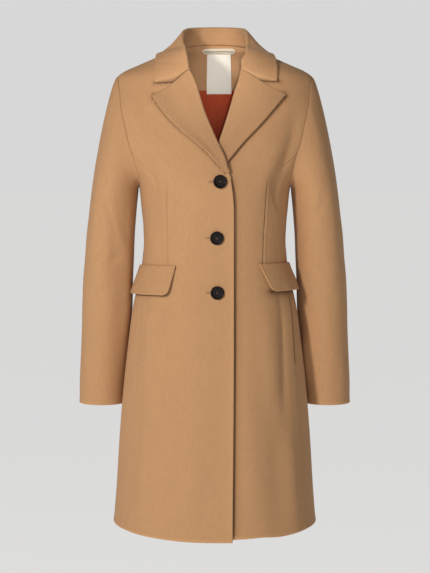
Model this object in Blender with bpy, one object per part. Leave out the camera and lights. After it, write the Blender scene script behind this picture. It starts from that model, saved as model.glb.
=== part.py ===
"""Wool coat, single breasted, with notched lapels, flap pockets and three buttons.

The coat keeps the filled-out, hollow form that it has when it is worn.  Lengths are in
metres and +Z is up.  The front faces -Y and the wearer's left is +X.  The origin is at the
centre of the neck base, level with the neck end of the shoulder seams, where a wearer's
shoulders carry the coat.

The body is one closed surface of superellipse rings, given by BODY.  Each panel is a stretch
of that surface between its own seams, made into a wall.  Lapels, flaps, facing, lining and
label are worked out from the same surface, moved outwards or inwards.
"""
import math
from collections import namedtuple

import bmesh
import bpy
import numpy as np

# ---------------------------------------------------------------- cloth
WOOL = 0.0022            # coating wool with its fused backing
FOLDED = 0.0032          # two layers of wool: collar, lapels and flaps
FACING = 0.0018
SATIN = 0.0010
LABEL = 0.0010
TAPE = 0.0014
SEAM_GAP = 0.0006        # between two pieces that are sewn edge to edge
LAID_GAP = 0.0004        # between a piece and the one it lies on

# ---------------------------------------------------------------- body
HEM_HEIGHT = -0.898
HEM_RISE = 0.011         # how much higher the hem is at the sides than at the front
HEM_RISE_START = -0.70
SHOULDER_TIP_HEIGHT = -0.0467
NECK_POINT_HEIGHT = 0.0065
NECK_POINT_X = 0.070
NECK_SHIFT = 0.0085      # the loop and the label sit this far towards the wearer's left

Section = namedtuple("Section", "height half_width front back squareness")
BODY = (
    Section(0.060, 0.0540, 0.048, 0.062, 2.0),
    Section(0.030, 0.0585, 0.052, 0.069, 2.0),
    Section(0.0065, 0.0700, 0.058, 0.076, 1.9),
    Section(-0.0076, 0.1040, 0.064, 0.083, 1.8),
    Section(-0.0247, 0.1438, 0.071, 0.090, 1.8),
    Section(-0.036, 0.1690, 0.075, 0.094, 1.9),
    Section(-0.0467, 0.1835, 0.079, 0.097, 2.0),
    Section(-0.075, 0.1960, 0.088, 0.104, 2.1),
    Section(-0.110, 0.2030, 0.100, 0.111, 2.2),
    Section(-0.160, 0.1940, 0.116, 0.115, 2.2),
    Section(-0.210, 0.1680, 0.129, 0.113, 2.15),
    Section(-0.251, 0.1430, 0.136, 0.109, 2.1),
    Section(-0.295, 0.1380, 0.133, 0.102, 2.1),
    Section(-0.345, 0.1345, 0.125, 0.098, 2.1),
    Section(-0.386, 0.1363, 0.122, 0.101, 2.1),
    Section(-0.431, 0.1445, 0.124, 0.110, 2.1),
    Section(-0.492, 0.1570, 0.130, 0.123, 2.1),
    Section(-0.560, 0.1645, 0.137, 0.133, 2.1),
    Section(-0.663, 0.1745, 0.147, 0.142, 2.1),
    Section(-0.735, 0.1800, 0.155, 0.146, 2.1),
    Section(-0.800, 0.1850, 0.162, 0.149, 2.1),
    Section(HEM_HEIGHT, 0.1935, 0.172, 0.152, 2.1),
)

# Heights of the rows that the front, side and back panels share below the armhole.
SEAM_HEIGHTS = (
    HEM_HEIGHT, -0.800, -0.710, -0.620, -0.540, -0.470, -0.420, -0.380,
    -0.340, -0.300, -0.265, -0.240, -0.222, -0.206, -0.1922,
)
ROWS_BELOW_CHEST = 11    # rows of SEAM_HEIGHTS that run level right across the panels

# Side-front and side-back seams, as angles round the body from the front centre.
Seam = namedtuple("Seam", "height right left")
SIDE_FRONT_SEAM = (
    Seam(-0.1922, 57.7, 57.7),
    Seam(-0.206, 53.5, 53.5),
    Seam(-0.225, 48.6, 49.0),
    Seam(-0.245, 46.6, 47.0),
    Seam(-0.2656, 47.5, 48.0),
    Seam(-0.312, 55.0, 57.7),
    Seam(-0.3435, 58.0, 62.0),
    Seam(-0.386, 60.0, 64.5),
    Seam(-0.448, 60.5, 66.5),
    Seam(-0.520, 58.5, 64.5),
    Seam(-0.610, 57.0, 62.5),
    Seam(-0.800, 57.0, 61.6),
    Seam(HEM_HEIGHT, 57.0, 61.5),
)
SIDE_BACK_SEAM = (
    Seam(-0.1922, 118.65, 118.65),
    Seam(-0.210, 120.8, 120.8),
    Seam(-0.235, 124.0, 124.0),
    Seam(-0.270, 127.5, 127.5),
    Seam(-0.345, 129.0, 129.0),
    Seam(-0.450, 127.0, 127.0),
    Seam(-0.620, 123.0, 123.0),
    Seam(HEM_HEIGHT, 121.0, 121.0),
)

# The armhole is an oval round the side of the body, from the shoulder tip at 0 degrees
# to the underarm at 180.
ARMHOLE_MID_HEIGHT = -0.149
ARMHOLE_HALF_HEIGHT = 0.1023
ARMHOLE_FRONT_REACH = 35.0
ARMHOLE_BACK_REACH = 31.0
ARMHOLE_ROUNDNESS = 0.8
ARMHOLE_FRONT_STEPS = (115.0, 98.0, 81.0, 64.0, 48.0, 33.0, 20.0, 9.0, 0.0)
ARMHOLE_UNDER_STEPS = (115.0, 137.0, 158.0, 180.0, 202.0, 223.0, 245.0)

# Front edge and roll line as seen from the front: x of the visible edge on each side.
Edge = namedtuple("Edge", "height right left")
FRONT_EDGE = (
    Edge(-0.040, -0.0452, 0.0485),
    Edge(-0.060, -0.0354, 0.0430),
    Edge(-0.078, -0.0286, 0.0358),
    Edge(-0.116, -0.0169, 0.0246),
    Edge(-0.168, 0.0046, 0.0075),
    Edge(-0.208, 0.0224, -0.0076),
    Edge(-0.228, 0.0272, -0.0150),
    Edge(-0.249, 0.0304, -0.0203),
    Edge(-0.294, 0.0344, -0.0255),
    Edge(-0.476, 0.0349, -0.0260),
    Edge(HEM_HEIGHT, 0.0322, -0.0240),
)
GORGE_HEIGHT = -0.040    # where the roll line passes from lapel to collar
ROLL_ROWS = 7            # rows of the front panel between the chest and the gorge
ROLL_RADIUS = 0.0023     # of the turned edge, measured at mid thickness
ROLL_REACH = ROLL_RADIUS + FOLDED / 2 + SEAM_GAP
GORGE_GAP = 0.0028       # between the collar and the lapel, whose layers roll apart here
LAPEL_SEAT = 0.0010      # how far the lapel's under layer lies off the front
ROLL_GAP = 0.0013        # between the front panel's cut edge and the lapel's under layer
BREAK_LOW = -0.234       # the roll fades into a flat front edge between these heights
BREAK_HIGH = -0.216

# Neckline of the fronts, between the gorge and the neck point.
FRONT_NECK = ((-0.027, 0.0540), (-0.015, 0.0585), (-0.005, 0.0630), (0.002, 0.0668))
# Neckline of the back, from the centre back to the neck point: x and height.
BACK_NECK = (
    (0.000, 0.0180), (0.0145, 0.0178), (0.0290, 0.0168), (0.0430, 0.0146), (0.0570, 0.0112),
)
SHOULDER_COLUMNS = 8
FRONT_COLUMNS = 8
BACK_CENTRE_HEIGHTS = (
    -0.240, -0.215, -0.186, -0.157, -0.128, -0.099, -0.070, -0.048, -0.028, -0.011, 0.004, 0.018,
)

# How the fronts part where they overlap, and more so where the under lapel lies between.
OVERLAP_OUT = 0.0010
OVERLAP_IN = 0.0022
RIGHT_LIFTS = (-0.095, -0.030)   # x between which the wearer's right front lifts
LEFT_SETTLES = (0.038, 0.100)    # and the left one comes back to the surface
LAPEL_SPREAD = 0.0034
LAPEL_SPREAD_HEIGHT = -0.198
LAPEL_SPREAD_REACH = 0.045

# ---------------------------------------------------------------- collar and lapels
CollarSection = namedtuple(
    "CollarSection", "along fold_x fold_y fold_z edge_x edge_y edge_z shift")
COLLAR = (
    CollarSection(0.00, 0.0000, 0.0660, 0.0510, 0.0000, 0.0950, -0.0160, 0.000),
    CollarSection(0.15, 0.0240, 0.0625, 0.0502, 0.0400, 0.0905, -0.0155, 0.000),
    CollarSection(0.30, 0.0425, 0.0480, 0.0478, 0.0760, 0.0720, -0.0135, 0.000),
    CollarSection(0.45, 0.0530, 0.0260, 0.0435, 0.1000, 0.0380, -0.0075, 0.001),
    CollarSection(0.60, 0.0563, 0.0000, 0.0325, 0.1085, 0.0020, -0.0075, 0.001),
    CollarSection(0.72, 0.0548, -0.0220, 0.0115, 0.1095, -0.0270, -0.0195, 0.002),
    CollarSection(0.84, 0.0520, -0.0420, -0.0090, 0.1105, -0.0500, -0.0375, 0.003),
    CollarSection(1.00, 0.0485, -0.0715, -0.0400, 0.1131, -0.0735, -0.0597, 0.0017),
)
COLLAR_ROLL = 0.0034
STAND_GAP = 0.0018       # between the stand's lower edge and the neckline
SHORTEST_STAND = 0.0008  # at its front end
COLLAR_SEAT = 0.0022     # how far the fall lies off the coat at least
COLLAR_FALL_COLUMNS = 6
COLLAR_NOTCH_COLUMN = 2  # the column of the fall that ends in the notch's vertex
STAND_COLUMNS = 2
ROLL_COLUMNS = 4
ROLL_TIGHTENS = 0.55     # along the collar, from where the fold draws in to the lapel's
FALL_SETTLES = 0.6       # share of the fall in which it comes back from the fold's bulge
END_SETTLES = 0.3        # and the same share at the collar's ends
FALL_THICKNESS = 0.9     # of the folded cloth, at least, where the fall is seated

Notch = namedtuple("Notch", "vertex_x vertex_z collar_x collar_z")
NOTCHES = {
    "right": Notch(-0.0726, -0.0640, -0.1080, -0.0618),
    "left": Notch(0.0830, -0.0602, 0.1182, -0.0570),
}
LapelPoint = namedtuple("LapelPoint", "height x")
LAPEL_EDGE = {
    "right": (
        LapelPoint(-0.0871, -0.1149), LapelPoint(-0.1288, -0.0845), LapelPoint(-0.1947, -0.0122),
        LapelPoint(-0.2190, 0.0097), LapelPoint(-0.2290, 0.0196),
    ),
    "left": (
        LapelPoint(-0.0849, 0.1295), LapelPoint(-0.1343, 0.0880), LapelPoint(-0.1779, 0.0473),
        LapelPoint(-0.2077, 0.0221), LapelPoint(-0.2290, -0.0020),
    ),
}
LAPEL_BREAK = -0.2265
LAPEL_COLUMNS = 8
LAPEL_FIRST_ROW = 0.005  # least height of the lapel's second row above its lower end
LAPEL_SETTLES = 0.45     # share of the lapel in which it comes down from the roll
NOTCH_COLUMN = 3         # the column of the lapel that ends in the notch's vertex

# ---------------------------------------------------------------- sleeves
SleeveRing = namedtuple("SleeveRing", "height x y half_width half_depth")
SLEEVE = (
    SleeveRing(-0.262, 0.1886, 0.004, 0.0420, 0.0680),
    SleeveRing(-0.280, 0.1908, 0.006, 0.0422, 0.0672),
    SleeveRing(-0.3055, 0.1935, 0.008, 0.0425, 0.0660),
    SleeveRing(-0.345, 0.1976, 0.013, 0.0435, 0.0640),
    SleeveRing(-0.386, 0.2002, 0.018, 0.0443, 0.0625),
    SleeveRing(-0.430, 0.2034, 0.023, 0.0453, 0.0610),
    SleeveRing(-0.477, 0.2052, 0.028, 0.0458, 0.0585),
    SleeveRing(-0.5226, 0.2078, 0.032, 0.0445, 0.0560),
    SleeveRing(-0.570, 0.2105, 0.035, 0.0440, 0.0540),
    SleeveRing(-0.620, 0.2135, 0.037, 0.0435, 0.0515),
    SleeveRing(-0.6665, 0.2155, 0.038, 0.0420, 0.0490),
)
SLEEVE_RINGS = 13        # level rings between the underarm and the cuff
CAP_RINGS = 6            # rings that turn from the armhole to the level ones
CAP_OUTWARD = 0.030      # how strongly the cap leaves the armhole sideways at the shoulder
CAP_LEAST = 0.4          # share of that which its shortest curves still have
CAP_FALL = 0.25          # how much it turns down at the shoulder while it does so
CAP_DOWNWARD = 1.15      # how straight it comes down on the level rings

# ---------------------------------------------------------------- pockets
FlapPlace = namedtuple("FlapPlace", "first_angle top_front top_side height slant")
FLAPS = {
    "right": FlapPlace(29.7, -0.3972, -0.3995, 0.0555, 0.006),
    "left": FlapPlace(34.5, -0.3940, -0.3950, 0.0525, 0.0155),
}
FLAP_WIDTH = 0.1235
FLAP_CORNER = 0.015
FLAP_COLUMNS = 8
FLAP_ROWS = 6
CORNER_ON_END = 0.3      # share of the front end's rows that lie in the rounded corner
CORNER_ON_EDGE = 0.15    # share of the lower edge's columns that do
FLAP_SEAT = 0.0015       # how far the upper edge stands off the coat
FLAP_FLARE = 0.0042      # and how much more the lower edge does
HIP_RADIUS = 0.1262      # of the body under the flap, to turn widths into angles

# ---------------------------------------------------------------- buttons
BUTTON_RADIUS = 0.0125
BUTTON_THICKNESS = 0.0036
BUTTON_RIM = 0.0026      # width of the raised rim
BUTTON_DISH = 0.0011     # depth of the dished centre
BUTTON_FLAT = 0.75       # share of the dish's radius that is flat
BUTTON_BEVEL = 0.0012    # how far the rounded outer edge reaches in
BUTTON_CREST = 0.0003    # how far the rim's inner corner lies below its top
BUTTON_SHOULDER = 0.0007 # and its outer corner
BUTTON_SEAT = 0.0010     # between the button and the front
BUTTON_HOLE_RADIUS = 0.0011
BUTTON_HOLE_SPACING = 0.0021
BUTTON_HOLE_SIDES = 8
BUTTON_SIDES = 28
Button = namedtuple("Button", "name x height")
BUTTONS = (
    Button("button_top", 0.0097, -0.2439),
    Button("button_middle", 0.0040, -0.3458),
    Button("button_bottom", 0.0048, -0.4463),
)

# ---------------------------------------------------------------- inside the neck
FACING_ROWS = 5          # rows and columns of the back panels that each layer backs
FACING_COLUMNS = 7
LINING_FIRST_ROW = 8
LINING_COLUMNS = 12
LABEL_HALF_WIDTH = 0.0242
LABEL_LIFT = 0.0009      # the label and the loop stand this far off the facing
LABEL_TOP = 0.0038
LABEL_BOTTOM = -0.0722
LABEL_COLUMNS = 6
LABEL_ROWS = 5
LOOP_HALF_LENGTH = 0.0335
LOOP_WIDTH = 0.0068
LOOP_HEIGHT = 0.0082
LOOP_ARC = 0.0018        # how far the loop rises at its middle
LOOP_SLACK = 0.0032      # how far its middle stands off the facing
LOOP_COLUMNS = 12
LOOP_ROWS = 2
LOOP_END_WIDTH = 0.35    # of the full width, at the pointed ends
LOOP_POINT = 0.18        # share of the half length that the pointed end takes up

# ---------------------------------------------------------------- materials
Finish = namedtuple("Finish", "name colour roughness")
CAMEL_WOOL = Finish("camel wool", (0.56, 0.33, 0.155), 0.9)
RUST_SATIN = Finish("rust satin", (0.33, 0.055, 0.022), 0.45)
CREAM_TAPE = Finish("cream tape", (0.80, 0.74, 0.60), 0.8)
DARK_HORN = Finish("dark horn", (0.012, 0.008, 0.007), 0.25)

SHARP_DEGREES = 40.0     # edges sharper than this aren't shaded smooth
JUST_ASIDE = 1e-6        # keeps a point at the centre back on its own side

SIDES = {"right": -1.0, "left": 1.0}


# ================================================================ tools
def smooth_read(stations, values, at):
    """Smooth curve through a table that never overshoots: cubic pieces whose slope at each
    station is the harmonic mean of its neighbours, or nothing at a turning point."""
    order = np.argsort(stations)
    stations = np.asarray(stations, float)[order]
    values = np.asarray(values, float)[order]
    step = np.diff(stations)
    slope = np.diff(values) / step
    same_way = slope[:-1] * slope[1:] > 0
    total = np.where(same_way, slope[:-1] + slope[1:], 1.0)
    tangent = np.concatenate((
        slope[:1], np.where(same_way, 2 * slope[:-1] * slope[1:] / total, 0.0), slope[-1:]))
    at = np.clip(at, stations[0], stations[-1])
    cell = np.clip(np.searchsorted(stations, at) - 1, 0, len(step) - 1)
    width = step[cell]
    t = (at - stations[cell]) / width
    return (values[cell] * (2 * t**3 - 3 * t**2 + 1)
            + values[cell + 1] * (3 * t**2 - 2 * t**3)
            + tangent[cell] * width * (t**3 - 2 * t**2 + t)
            + tangent[cell + 1] * width * (t**3 - t**2))


def read_table(table, column, at):
    """Read one named column of a table, by its first column."""
    stations = [row[0] for row in table]
    values = [getattr(row, column) for row in table]
    return smooth_read(stations, values, at)


def fade(value, start, end):
    """0 before start, 1 after end, with a smooth step between."""
    t = np.clip((value - start) / (end - start), 0.0, 1.0)
    return t * t * (3 - 2 * t)


def unit(vectors):
    return vectors / np.linalg.norm(vectors, axis=-1, keepdims=True)


def coons(bottom, top, left, right, across, up):
    """Surface patch between four boundary curves that share their corners.  across and up
    say how far each column and row lies from the left and from the bottom, 0 to 1."""
    u = np.asarray(across)[None, :, None]
    v = np.asarray(up)[:, None, None]
    ruled = (1 - v) * bottom[None] + v * top[None] + (1 - u) * left[:, None] + u * right[:, None]
    corners = ((1 - u) * (1 - v) * bottom[0] + u * (1 - v) * bottom[-1]
               + (1 - u) * v * top[0] + u * v * top[-1])
    return ruled - corners


def draw_in(grid, distance):
    """Move the four outer rows of points inwards along the cloth, to leave a seam gap."""
    grid = grid.copy()
    for edge, inner in ((0, 1), (-1, -2)):
        grid[edge] += unit(grid[inner] - grid[edge]) * distance
        grid[:, edge] += unit(grid[:, inner] - grid[:, edge]) * distance
    return grid


def grid_normals(grid, closed=False):
    """Unit normals of a grid of points, from the directions of its rows and columns."""
    if closed:
        along = np.roll(grid, -1, axis=1) - np.roll(grid, 1, axis=1)
    else:
        along = np.gradient(grid, axis=1)
    return unit(np.cross(along, np.gradient(grid, axis=0)))


# ================================================================ body surface
def body_point(angle, height):
    """Outside of the body at an angle in degrees from the front centre, positive towards
    the wearer's left.  Each level ring is a superellipse with its own depth in front of and
    behind the side line."""
    angle = np.radians(angle)
    power = 2.0 / read_table(BODY, "squareness", height)
    cosine = np.cos(angle)
    sine = np.sin(angle)
    depth = np.where(
        cosine > 0, read_table(BODY, "front", height), read_table(BODY, "back", height))
    x = read_table(BODY, "half_width", height) * np.sign(sine) * np.abs(sine)**power
    y = -depth * np.sign(cosine) * np.abs(cosine)**power
    return np.stack((x, y, height + 0 * x), axis=-1)


def body_surface(angle, height, lift):
    """A point of the body moved out along the surface's normal by lift.  The hem is raised
    towards the sides."""
    angle = np.asarray(angle, float)
    height = np.asarray(height, float)
    low = 1 - fade(height, HEM_HEIGHT, HEM_RISE_START)
    height = height + HEM_RISE * low * np.sin(np.radians(angle))**2
    turn = 0.4       # small steps, in degrees and in metres, that give the surface's slope
    climb = 0.0004
    along = body_point(angle + turn, height) - body_point(angle - turn, height)
    upward = body_point(angle, height + climb) - body_point(angle, height - climb)
    normal = unit(np.cross(along, upward))
    return body_point(angle, height) + normal * np.asarray(lift)[..., None]


def angle_of(x, height, back=False):
    """Angle round the body of the point that is seen at x from the front or from behind."""
    share = np.clip(np.abs(x) / read_table(BODY, "half_width", height), 0.0, 1.0)
    power = read_table(BODY, "squareness", height) / 2.0
    angle = np.degrees(np.arcsin(share**power)) * np.sign(x)
    return np.where(np.sign(x) == 0, 180.0, 180.0 * np.sign(x) - angle) if back else angle


def body_field(points):
    """1 on the body's surface, less inside it and more outside."""
    x, y, z = points[..., 0], points[..., 1], points[..., 2]
    power = read_table(BODY, "squareness", z)
    depth = np.where(y < 0, read_table(BODY, "front", z), read_table(BODY, "back", z))
    return ((np.abs(x) / read_table(BODY, "half_width", z))**power + (np.abs(y) / depth)**power)


def body_distance(points):
    """Distance out from the body's surface and its outward direction, worked out from how
    the field changes over a small step."""
    small = 0.0003
    steps = np.eye(3) * small
    slope = np.stack(
        [(body_field(points + s) - body_field(points - s)) / (2 * small) for s in steps], axis=-1)
    size = np.linalg.norm(slope, axis=-1)
    return (body_field(points) - 1) / size, slope / size[..., None]


def lay(points, lift, only_out=False):
    """Move points along the surface's normal until they lie at lift over the body, or only
    those that lie lower than that."""
    for _ in range(8):
        distance, outward = body_distance(points)
        move = lift - distance
        if only_out:
            move = np.maximum(move, 0.0)
        points = points + outward * move[..., None]
    return points


def overlap_lift(side, x, height):
    """How far a front stands out of the body's surface: the wearer's right front lies over
    the left one, and they part further where the under lapel ends between them."""
    spread = LAPEL_SPREAD * np.exp(
        -((height - LAPEL_SPREAD_HEIGHT) / LAPEL_SPREAD_REACH)**2)
    if side == "right":
        return (OVERLAP_OUT + spread) * fade(x, *RIGHT_LIFTS)
    return -(OVERLAP_IN + spread) * (1 - fade(x, *LEFT_SETTLES))


def armhole(side, step):
    """Angle and height of the armhole's edge, at a step from 0 at the shoulder tip through
    180 at the underarm to 360."""
    step = np.radians(np.asarray(step, float))
    reach = np.where(np.sin(step) > 0, -ARMHOLE_FRONT_REACH, ARMHOLE_BACK_REACH)
    angle = 90.0 + reach * np.abs(np.sin(step))**ARMHOLE_ROUNDNESS
    height = ARMHOLE_MID_HEIGHT + ARMHOLE_HALF_HEIGHT * np.cos(step)
    return SIDES[side] * angle, height


def visible_edge(side, height):
    """x of the front edge or roll line as it is seen."""
    return read_table(FRONT_EDGE, side, height)


def cloth_edge(side, height):
    """x where the front panel ends: behind the rolled edge above the break, and at the
    visible edge below it."""
    set_back = ROLL_REACH * fade(height, BREAK_LOW, BREAK_HIGH)
    return visible_edge(side, height) + SIDES[side] * set_back


def shoulder_line(side, share):
    """x and height of the shoulder seam, from the neck point at 0 to the tip at 1."""
    share = np.asarray(share, float)
    height = NECK_POINT_HEIGHT + (SHOULDER_TIP_HEIGHT - NECK_POINT_HEIGHT) * share
    return SIDES[side] * read_table(BODY, "half_width", height), height


# ================================================================ objects
def plain_material(finish):
    """One Principled material in a plain colour."""
    material = bpy.data.materials.new(finish.name)
    material.use_nodes = True
    shader = material.node_tree.nodes["Principled BSDF"]
    shader.inputs["Base Color"].default_value = (*finish.colour, 1.0)
    shader.inputs["Roughness"].default_value = finish.roughness
    return material


def grid_faces(rows, columns, start, closed, mirrored_columns=0):
    """Four-cornered faces of a grid whose points are numbered row by row from start.  In the
    first mirrored_columns each face starts at another corner, so that it splits into two
    triangles the way that a mirrored panel's faces do."""
    row = np.arange(rows - 1)[:, None]
    column = np.arange(columns if closed else columns - 1)[None, :]
    beside = (column + 1) % columns
    corners = np.stack((row * columns + column, row * columns + beside,
                        (row + 1) * columns + beside, (row + 1) * columns + column), axis=-1)
    corners[:, :mirrored_columns] = np.roll(corners[:, :mirrored_columns], 1, axis=-1)
    return (corners + start).reshape(-1, 4)


def rim_faces(loop, offset):
    """Strip of faces that joins a loop of points of one side to the same loop of the other."""
    after = np.roll(loop, -1)
    return np.stack((loop, after, after + offset, loop + offset), axis=-1)


def add_shape(name, shape, material):
    """Object from a bmesh, with its normals out, smooth shading and a material."""
    bmesh.ops.recalc_face_normals(shape, faces=shape.faces)
    mesh = bpy.data.meshes.new(name)
    shape.to_mesh(mesh)
    shape.free()
    mesh.shade_smooth()
    mesh.set_sharp_from_angle(angle=math.radians(SHARP_DEGREES))
    mesh.materials.append(material)
    piece = bpy.data.objects.new(name, mesh)
    bpy.context.scene.collection.objects.link(piece)
    return piece


def add_mesh(name, points, faces, material):
    """Object from points and faces."""
    mesh = bpy.data.meshes.new(name + "_points")
    mesh.from_pydata(points.tolist(), [], faces)
    shape = bmesh.new()
    shape.from_mesh(mesh)
    bpy.data.meshes.remove(mesh)
    return add_shape(name, shape, material)


def add_wall(name, outer, inner, material, closed=False, mirrored_columns=0):
    """Closed wall of cloth between two grids of points.  A closed grid is a tube, with a
    rim at each end; an open one is a sheet, with one rim round its edge."""
    rows, columns = outer.shape[:2]
    count = rows * columns
    number = np.arange(count).reshape(rows, columns)
    faces = [grid_faces(rows, columns, start, closed, mirrored_columns) for start in (0, count)]
    if closed:
        faces += [rim_faces(number[0], count), rim_faces(number[-1], count)]
    else:
        edge = np.concatenate(
            (number[0, :-1], number[:-1, -1], number[-1, :0:-1], number[:0:-1, 0]))
        faces.append(rim_faces(edge, count))
    points = np.concatenate((outer.reshape(-1, 3), inner.reshape(-1, 3)))
    return add_mesh(name, points, np.concatenate(faces).tolist(), material)


def add_folded_cloth(name, middle, thickness, material):
    """Wall of even thickness on both sides of a grid of points."""
    normals = grid_normals(middle)
    return add_wall(
        name, middle + normals * thickness / 2, middle - normals * thickness / 2, material)


# ================================================================ panels
def height_share(heights):
    """How far up each row is, 0 to 1, weighted so that the top edge's shape is kept near
    the top."""
    heights = np.asarray(heights)
    share = (heights - heights[0]) / (heights[-1] - heights[0])
    return share**3


def panel_wall(name, angle, height, lift, material):
    """Wall of coating wool whose outer side lies on the body's surface, moved out by lift."""
    outer = draw_in(body_surface(angle, height, lift), SEAM_GAP / 2)
    inner = draw_in(body_surface(angle, height, lift - WOOL), SEAM_GAP / 2)
    return add_wall(name, outer, inner, material)


def seam_and_armhole(side, seam, steps):
    """x and height of a panel's outer boundary: up its side seam, then round the armhole."""
    heights = np.array(SEAM_HEIGHTS)
    angle = np.concatenate((
        SIDES[side] * read_table(seam, side, heights), armhole(side, steps[1:])[0]))
    height = np.concatenate((heights, armhole(side, steps[1:])[1]))
    return np.stack((body_point(angle, height)[:, 0], height), axis=-1)


def front_inner_boundary(side):
    """x and height of the front's inner boundary: front edge, roll line, then neckline."""
    level = np.array(SEAM_HEIGHTS[:ROWS_BELOW_CHEST])
    rising = np.linspace(level[-1], GORGE_HEIGHT, ROLL_ROWS + 1)[1:]
    heights = np.concatenate((level, rising))
    edge = np.stack((cloth_edge(side, heights), heights), axis=-1)
    neck = np.array([(SIDES[side] * x, height) for height, x in FRONT_NECK])
    neck_point = np.array([[SIDES[side] * NECK_POINT_X, NECK_POINT_HEIGHT]])
    return np.concatenate((edge, neck, neck_point))


def front_panel(side, wool):
    """One front: a patch between hem, front edge with roll line and neckline, shoulder seam,
    and side-front seam with armhole."""
    inner = front_inner_boundary(side)
    outer = seam_and_armhole(side, SIDE_FRONT_SEAM, ARMHOLE_FRONT_STEPS)
    across = np.linspace(0.0, 1.0, FRONT_COLUMNS + 1)
    hem = inner[0] + (outer[0] - inner[0]) * across[:, None]
    shoulder = np.stack(shoulder_line(side, across), axis=-1)
    grid = coons(hem, shoulder, inner, outer, across, height_share(outer[:, 1]))
    x, height = grid[..., 0], grid[..., 1]
    angle = angle_of(x, height)
    return panel_wall(f"front_{side}", angle, height, overlap_lift(side, x, height), wool)


def side_panel(side, wool):
    """One side body: a patch between hem, side-front seam, underarm and side-back seam."""
    heights = np.array(SEAM_HEIGHTS)
    front = np.stack((SIDES[side] * read_table(SIDE_FRONT_SEAM, side, heights), heights), -1)
    back = np.stack((SIDES[side] * read_table(SIDE_BACK_SEAM, side, heights), heights), -1)
    top = np.stack(armhole(side, ARMHOLE_UNDER_STEPS), axis=-1)
    across = np.linspace(0.0, 1.0, len(ARMHOLE_UNDER_STEPS))
    hem = front[0] + (back[0] - front[0]) * across[:, None]
    grid = coons(hem, top, front, back, across, height_share(heights))
    lift = np.zeros(grid.shape[:2])
    return panel_wall(f"side_{side}", grid[..., 0], grid[..., 1], lift, wool)


def back_grid(side):
    """Angle and height of the back panel's points: its first column is the centre back, its
    last row the neckline and the shoulder seam."""
    level = np.array(SEAM_HEIGHTS[:ROWS_BELOW_CHEST])
    centre_heights = np.concatenate((level, BACK_CENTRE_HEIGHTS))
    centre = np.stack((0 * centre_heights, centre_heights), axis=-1)
    steps = 360.0 - np.array(ARMHOLE_FRONT_STEPS)
    outer = seam_and_armhole(side, SIDE_BACK_SEAM, steps)
    neck = np.array([(SIDES[side] * x, height) for x, height in BACK_NECK])
    shoulder = np.stack(
        shoulder_line(side, np.linspace(0.0, 1.0, SHOULDER_COLUMNS + 1)), axis=-1)
    top = np.concatenate((neck, shoulder))
    across = np.linspace(0.0, 1.0, len(top))
    hem = outer[0] * across[:, None] + centre[0] * (1 - across[:, None])
    grid = coons(hem, top, centre, outer, across, height_share(centre_heights))
    x, height = grid[..., 0], grid[..., 1]
    x[:, 0] = SIDES[side] * JUST_ASIDE
    return angle_of(x, height, back=True), height


def back_panel(side, wool):
    """One back, on the points of back_grid."""
    angle, height = back_grid(side)
    return panel_wall(f"back_{side}", angle, height, np.zeros(angle.shape), wool)


# ================================================================ sleeves
def sleeve(side, wool):
    """Tube from the armhole to the cuff.  Under the arm its rings are level ellipses; the
    cap is a family of cubic curves, one from each point of the armhole, that leave it
    sideways and come down on the first level ring."""
    steps = np.array(ARMHOLE_FRONT_STEPS[::-1] + ARMHOLE_UNDER_STEPS[1:-1]
                     + tuple(360.0 - s for s in ARMHOLE_FRONT_STEPS[:-1]))
    angle, height = armhole(side, steps)
    start = body_surface(angle, height, np.zeros(len(steps)))
    centre = start.mean(axis=0)
    start += unit(centre - start) * SEAM_GAP
    start[:, 0] += SIDES[side] * SEAM_GAP

    heights = np.linspace(SLEEVE[0].height, SLEEVE[-1].height, SLEEVE_RINGS)[:, None]
    turn = np.radians(steps)[None, :]
    x = (read_table(SLEEVE, "x", heights)
         + read_table(SLEEVE, "half_width", heights) * np.cos(turn))
    y = (read_table(SLEEVE, "y", heights)
         - read_table(SLEEVE, "half_depth", heights) * np.sin(turn))
    level = np.stack((SIDES[side] * x, y, heights + 0 * x), axis=-1)

    reach = np.linalg.norm(level[0] - start, axis=-1)[:, None]
    strength = CAP_OUTWARD * (CAP_LEAST + (1 - CAP_LEAST) * reach / reach.max())
    fall_away = -CAP_FALL * np.cos(np.radians(steps))
    outward = np.stack((SIDES[side] + 0 * fall_away, 0 * fall_away, fall_away), -1) * strength
    downward = unit(level[1] - level[0]) * CAP_DOWNWARD * reach
    t = np.linspace(0.0, 1.0, CAP_RINGS + 1)[:-1, None, None]
    cap = ((2 * t**3 - 3 * t**2 + 1) * start + (3 * t**2 - 2 * t**3) * level[0]
           + (t**3 - 2 * t**2 + t) * outward + (t**3 - t**2) * downward)
    tube = np.concatenate((cap, level))
    normals = grid_normals(tube, closed=True) * -SIDES[side]
    return add_wall(f"sleeve_{side}", tube, tube - normals * WOOL, wool, closed=True)


# ================================================================ collar and lapels
def rolled_edge(start, away, outward, radius, count):
    """Half circle at mid thickness that turns a piece over: from start, against away, and
    back above itself.  One row of points for each row of start."""
    turn = np.linspace(-np.pi / 2, np.pi / 2, count + 1)[None, :, None]
    radius = np.asarray(radius)[..., None, None] + np.zeros((len(start), 1, 1))
    middle = start[:, None] + outward[:, None] * radius
    return middle + radius * (np.sin(turn) * outward[:, None] - np.cos(turn) * away[:, None])


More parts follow.
